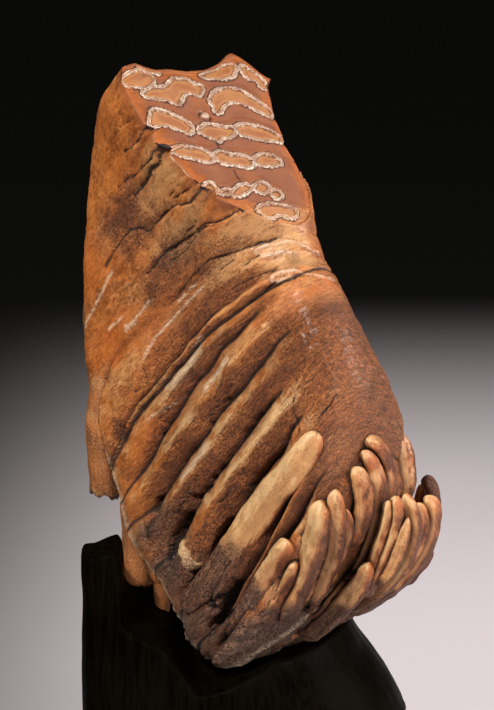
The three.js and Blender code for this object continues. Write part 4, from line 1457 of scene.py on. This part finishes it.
def speckle(where, size, detail=3, stretch=(1, 1, 1), rough=0.55):
    """Noise with lumps of about the given size in millimetres."""
    mapped = node("ShaderNodeMapping", Vector=where, Scale=stretch).outputs[0]
    return node("ShaderNodeTexNoise", Vector=mapped, Scale=1 / (size * MM), Detail=detail,
                Roughness=rough).outputs["Fac"]


def clear_noise(value, gain):
    """Noise with more contrast, that goes both ways from 0."""
    return times(minus(value, 0.5), gain)


def band(value, middle, half):
    """1 where the value lies close to the middle, and 0 from half away."""
    return rise(away(value, middle), half, 0.35 * half)


def layer(under, over, share, blend="MIX"):
    """Lays one colour over another where share is high."""
    kind = {"data_type": "RGBA", "blend_type": blend}
    return node("ShaderNodeMix", kind, _0=share, _6=under, _7=over).outputs[2]


print("sums and layers ready")

# %% [markdown]
# The tooth itself is orange-brown with darker fibres. Tan, cream and chalk lie on its ridges, umber
# and a leathery skin in its valleys, and mauve at its lower end; part of the tan, cream, umber and
# leather is painted light and shade on the flanks and the fingers. On the worn face the enamel is
# hard and pale, and the dentine inside it is glossy.

# %% Colours of the fossil
CLAY_DARK = paint(128, 68, 28)
CLAY_LIGHT = paint(194, 118, 58)
STAINS = {  # colour, and how much of it lies on at most
    "tan": (paint(198, 148, 96), 0.88),
    "orange": (paint(184, 100, 42), 0.75),
    "cream": (paint(214, 174, 124), 0.9),
    "umber": (paint(92, 46, 20), 0.85),
    "mauve": (paint(108, 76, 60), 0.92),
}
LEATHER_AND_SHADE = paint(150, 84, 40)
RUST_AND_SHADE = paint(112, 52, 18)
PALE_WRINKLE = paint(172, 138, 110)
CHALK = paint(220, 194, 164)
ENAMEL = paint(214, 198, 180)
DENTINE = paint(166, 112, 66)
DENTINE_HEART = paint(136, 78, 42)
CEMENT = paint(122, 68, 39)
DIRT_AND_SHADE = paint(26, 13, 7)
CREASE_SHADE = paint(42, 20, 9)
print(len(STAINS), "stains")

# %% [markdown]
# First come the noises and the shares that more than one layer reads. The fibres are stretched
# along the stored flow, so they follow the plates and the fingers wherever these bend.

# %% Noises and shares of the fossil
fossil, shader, place_in = new_material("stained_fossil")
flow = stored("flow", "Vector")
coarse = speckle(place_in, 15, 5)
fine = speckle(place_in, 1.3, 4, rough=0.65)
fibres = speckle(flow, 1.6, 4, stretch=(1, 0.2, 1), rough=0.6)
worms = speckle(flow, 1.25, 2, stretch=(1, 0.6, 1), rough=0.5)
ragged = plus(clear_noise(fine, 1.3), clear_noise(fibres, 1.7))
wavy = plus(clear_noise(speckle(place_in, 1.6, 3), 2.4), clear_noise(speckle(place_in, 5, 2), 2.0))
rim_gap = plus(stored("rim"), wavy)  # millimetres from the middle of the enamel line
worn_part = larger(stored("cement"), stored("dentine"))
leather = stored("leather")
dull = larger(larger(leather, stored("mauve")), stored("umber"))
low_mass = rise(stored("mauve"), 0.35, 0.9)
crease = times(rise(away(worms, 0.5), 0.045, 0.0), minus(1.0, worn_part))
crease = times(times(crease, rise(dull, 0, 0.7, 0.14, 0.78)), rise(low_mass, 0, 1, 1, 1.5))
enclosed = plus(stored("hollow"), times(ragged, 0.12))
print("noises ready")

# %% Stains of the fossil, from the clean tooth up
streaked = plus(clear_noise(coarse, 1.6), times(ragged, 0.5))
colour = layer(CLAY_DARK, CLAY_LIGHT, rise(streaked, -0.45, 0.45))
for stain, (tint, most) in STAINS.items():
    broken = plus(stored(stain), times(ragged, 0.55))
    colour = layer(colour, tint, rise(broken, 0.12, 0.85, 0, most))
# The leather colour lies on the leathery skin and, on the dark flanks, as painted shade.
colour = layer(colour, LEATHER_AND_SHADE, times(leather, rise(ragged, -0.4, 0.3, 0.1, 0.6)))
colour = layer(colour, CEMENT, times(stored("cement"), rise(coarse, 0.3, 0.7, 1, 0.8)))
colour = layer(colour, CHALK, times(stored("chalk"), rise(ragged, -0.5, 0.1, 0.3, 0.88)))
colour = layer(colour, DENTINE, stored("dentine"))
heart = times(rise(rim_gap, -2.0, -3.6), rise(coarse, 0.4, 0.6, 0.2, 0.8))
colour = layer(colour, DENTINE_HEART, heart)
print("stains laid on")

# %% Enamel
# The two crests of each rim are painted paler than its body: the enamel's own pale colour, with painted
# highlight on the crests.
crests = larger(band(rim_gap, 0.6, 0.55), times(band(rim_gap, -0.65, 0.5), 0.85))
rim_body = times(band(rim_gap, 0, 1.5), 0.35)
enamel = larger(stored("enamel"), larger(rim_body, crests))
patchy = times(rise(fine, 0.36, 0.56, 0.3, 1), rise(speckle(place_in, 6, 2), 0.38, 0.58, 0.5, 1))
colour = layer(colour, ENAMEL, times(enamel, patchy))
# The outline is a dark line at the foot of each rim, painted shade.
outline = larger(band(rim_gap, 1.5, 0.5), times(band(rim_gap, -1.45, 0.4), 0.6))
outline = times(outline, rise(fibres, 0.35, 0.55))
print("enamel laid on")

# %% [markdown]
# The layers end with painted shade and dirt, because both lie over everything. The same shares then
# make the surface dull or shiny, and give it a bump that is too fine to model.

# %% Tone with painted highlight, painted shade in creases and hollows, and dirt
# The tone follows the noise that raises the bump: random tone, and also painted highlight on the bump's
# raised parts and painted shade in its low parts.
tone = rise(times(ragged, rise(dull, 0, 0.8, 0.4, 1.5)), -0.6, 0.6, 0.6, 1.3)
shade = node("ShaderNodeCombineColor", _0=tone, _1=tone, _2=tone).outputs[0]
colour = layer(colour, shade, rise(worn_part, 0, 1, 1, 0.25), "MULTIPLY")
# Pale wrinkles are laid where the bump is raised: a pale tint, and painted highlight.
colour = layer(colour, PALE_WRINKLE, times(low_mass, rise(ragged, 0.0, 0.5, 0, 0.6)))
# Painted shade in the fine creases that the bump draws.
colour = layer(colour, CREASE_SHADE, crease)
# Painted shade and dirt: the more closed in a point is, the darker it is painted, first rust brown, then
# near black.
colour = layer(colour, RUST_AND_SHADE, rise(enclosed, 0.1, 0.42, 0, 0.6))
colour = layer(colour, DIRT_AND_SHADE, rise(enclosed, 0.32, 0.74))
crack = rise(plus(stored("crack"), times(ragged, 0.3)), 0.3, 0.8, 0, 0.92)
seam = rise(plus(stored("seam"), times(ragged, 0.7)), 1.1, 0.45, 0, 0.88)
crack = larger(larger(crack, seam), times(outline, 0.85))
# Cracks, and the painted shade in the holes, are laid on last.
give(shader, Base_Color=layer(colour, DIRT_AND_SHADE, crack))
print("dirt laid on")

# %% Shine and fine relief
gloss = minus(rise(dull, 0, 1, 0.42, 0.62), times(larger(enamel, stored("cream")), 0.14))
gloss = plus(gloss, times(crack, 0.35))
lumps = times(minus(ragged, times(crease, 1.6)), rise(worn_part, 0, 1, 1, 0.08))
lumps = times(times(lumps, rise(dull, 0, 0.8, 0.4, 2.1)), rise(low_mass, 0, 1, 1, 1.9))
lumps = plus(lumps, times(minus(crests, outline), 0.4))
bump = node("ShaderNodeBump", Height=lumps, Strength=0.9, Distance=0.75 * MM)
give(shader, Roughness=plus(gloss, clear_noise(fine, 0.15)), Normal=bump.outputs[0],
     Coat_Weight=0.1, Coat_Roughness=0.25)
dress(fossil, *tooth)
print("fossil material has", len(tree.nodes), "nodes")

# %% [markdown]
# The wood is stained almost black. What shows of it is a low shine, broken by fine upright grain.

# %% The stained wood
stained_wood, shader, place_in = new_material("stained_wood")
wood_grain = speckle(place_in, 2.2, 5, stretch=(1, 1, 0.07))
wood_mix = plus(times(wood_grain, 0.6), times(speckle(place_in, 30, 3), 0.4))
bump = node("ShaderNodeBump", Height=wood_grain, Strength=0.25, Distance=0.3 * MM)
give(shader, Base_Color=layer(paint(3, 2, 1), paint(11, 8, 4), rise(wood_mix, 0.35, 0.65)),
     Roughness=rise(wood_mix, 0.3, 0.7, 0.36, 0.55), Specular_IOR_Level=0.007,
     Normal=bump.outputs[0])
dress(stained_wood, stand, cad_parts["stand"])
print("wood ready")

# %% [markdown]
# ## Floor and light
# The tooth stands on a pale sheet that glows with painted light, brightest at the front right and
# falling off into the dark behind it. One soft lamp high on the left models the folds. A weaker one
# on the right warms the far edge.

# %% The floor
bpy.ops.mesh.primitive_plane_add(size=9, location=(0, 2.5, 0))
floor = bpy.context.object
floor.name = "floor"
sheet_material, shader, place_in = new_material("glowing_sheet")
parts = node("ShaderNodeSeparateXYZ", Vector=place_in)
# Painted light: the floor glows, bright at the front right and dark at the back and the left.
near_part = rise(parts.outputs["Y"], -1.52, -2.44)
right_part = rise(parts.outputs["X"], -0.30, 0.09)
glow = layer(paint(10, 10, 8), paint(232, 221, 223), times(near_part, right_part))
give(shader, Emission_Color=glow, Emission_Strength=0.85, Roughness=0.9, Specular_IOR_Level=0.0,
     Base_Color=layer(paint(12, 12, 12), glow, 0.12))
dress(sheet_material, floor)
print("floor laid")

# %% The lamps
LAMPS = [
    # place, size, watts, colour
    ("key", (-0.57, -0.92, 1.27), 0.22, 32.5, (1.0, 0.95, 0.89)),
    ("back", (0.7, 0.45, 1.05), 0.6, 1.6, (1.0, 0.93, 0.90)),
    ("edge", (1.1, 0.1, 0.45), 0.4, 12, (1.0, 0.9, 0.8)),
    ("front", (0.7, -1.3, 0.5), 0.7, 11, (1.0, 0.94, 0.88)),
]
AIM = Vector((0.02, -0.02, 0.2))
for name, place_, size, watts, tint in LAMPS:
    bpy.ops.object.light_add(type="AREA", location=place_)
    lamp = bpy.context.object
    lamp.name = name
    lamp.rotation_euler = (AIM - lamp.location).to_track_quat("-Z", "Y").to_euler()
    lamp.data.size = size
    lamp.data.energy = watts
    lamp.data.color = tint
world = bpy.context.scene.world or bpy.data.worlds.new("world")
bpy.context.scene.world = world
world.use_nodes = True
give(world.node_tree.nodes["Background"], Color=(0.5, 0.48, 0.5, 1), Strength=0.06)
bpy.context.scene.view_settings.view_transform = "Standard"
print(len(LAMPS), "lamps")

# %% [markdown]
# ## The pieces on their body
# Every piece rides on the one body that the model has, and the plain solid it stands for is hidden.

# %% Bodies
for piece in tooth:
    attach(piece, "root")
    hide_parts("molar")
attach(stand, "root")
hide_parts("stand")
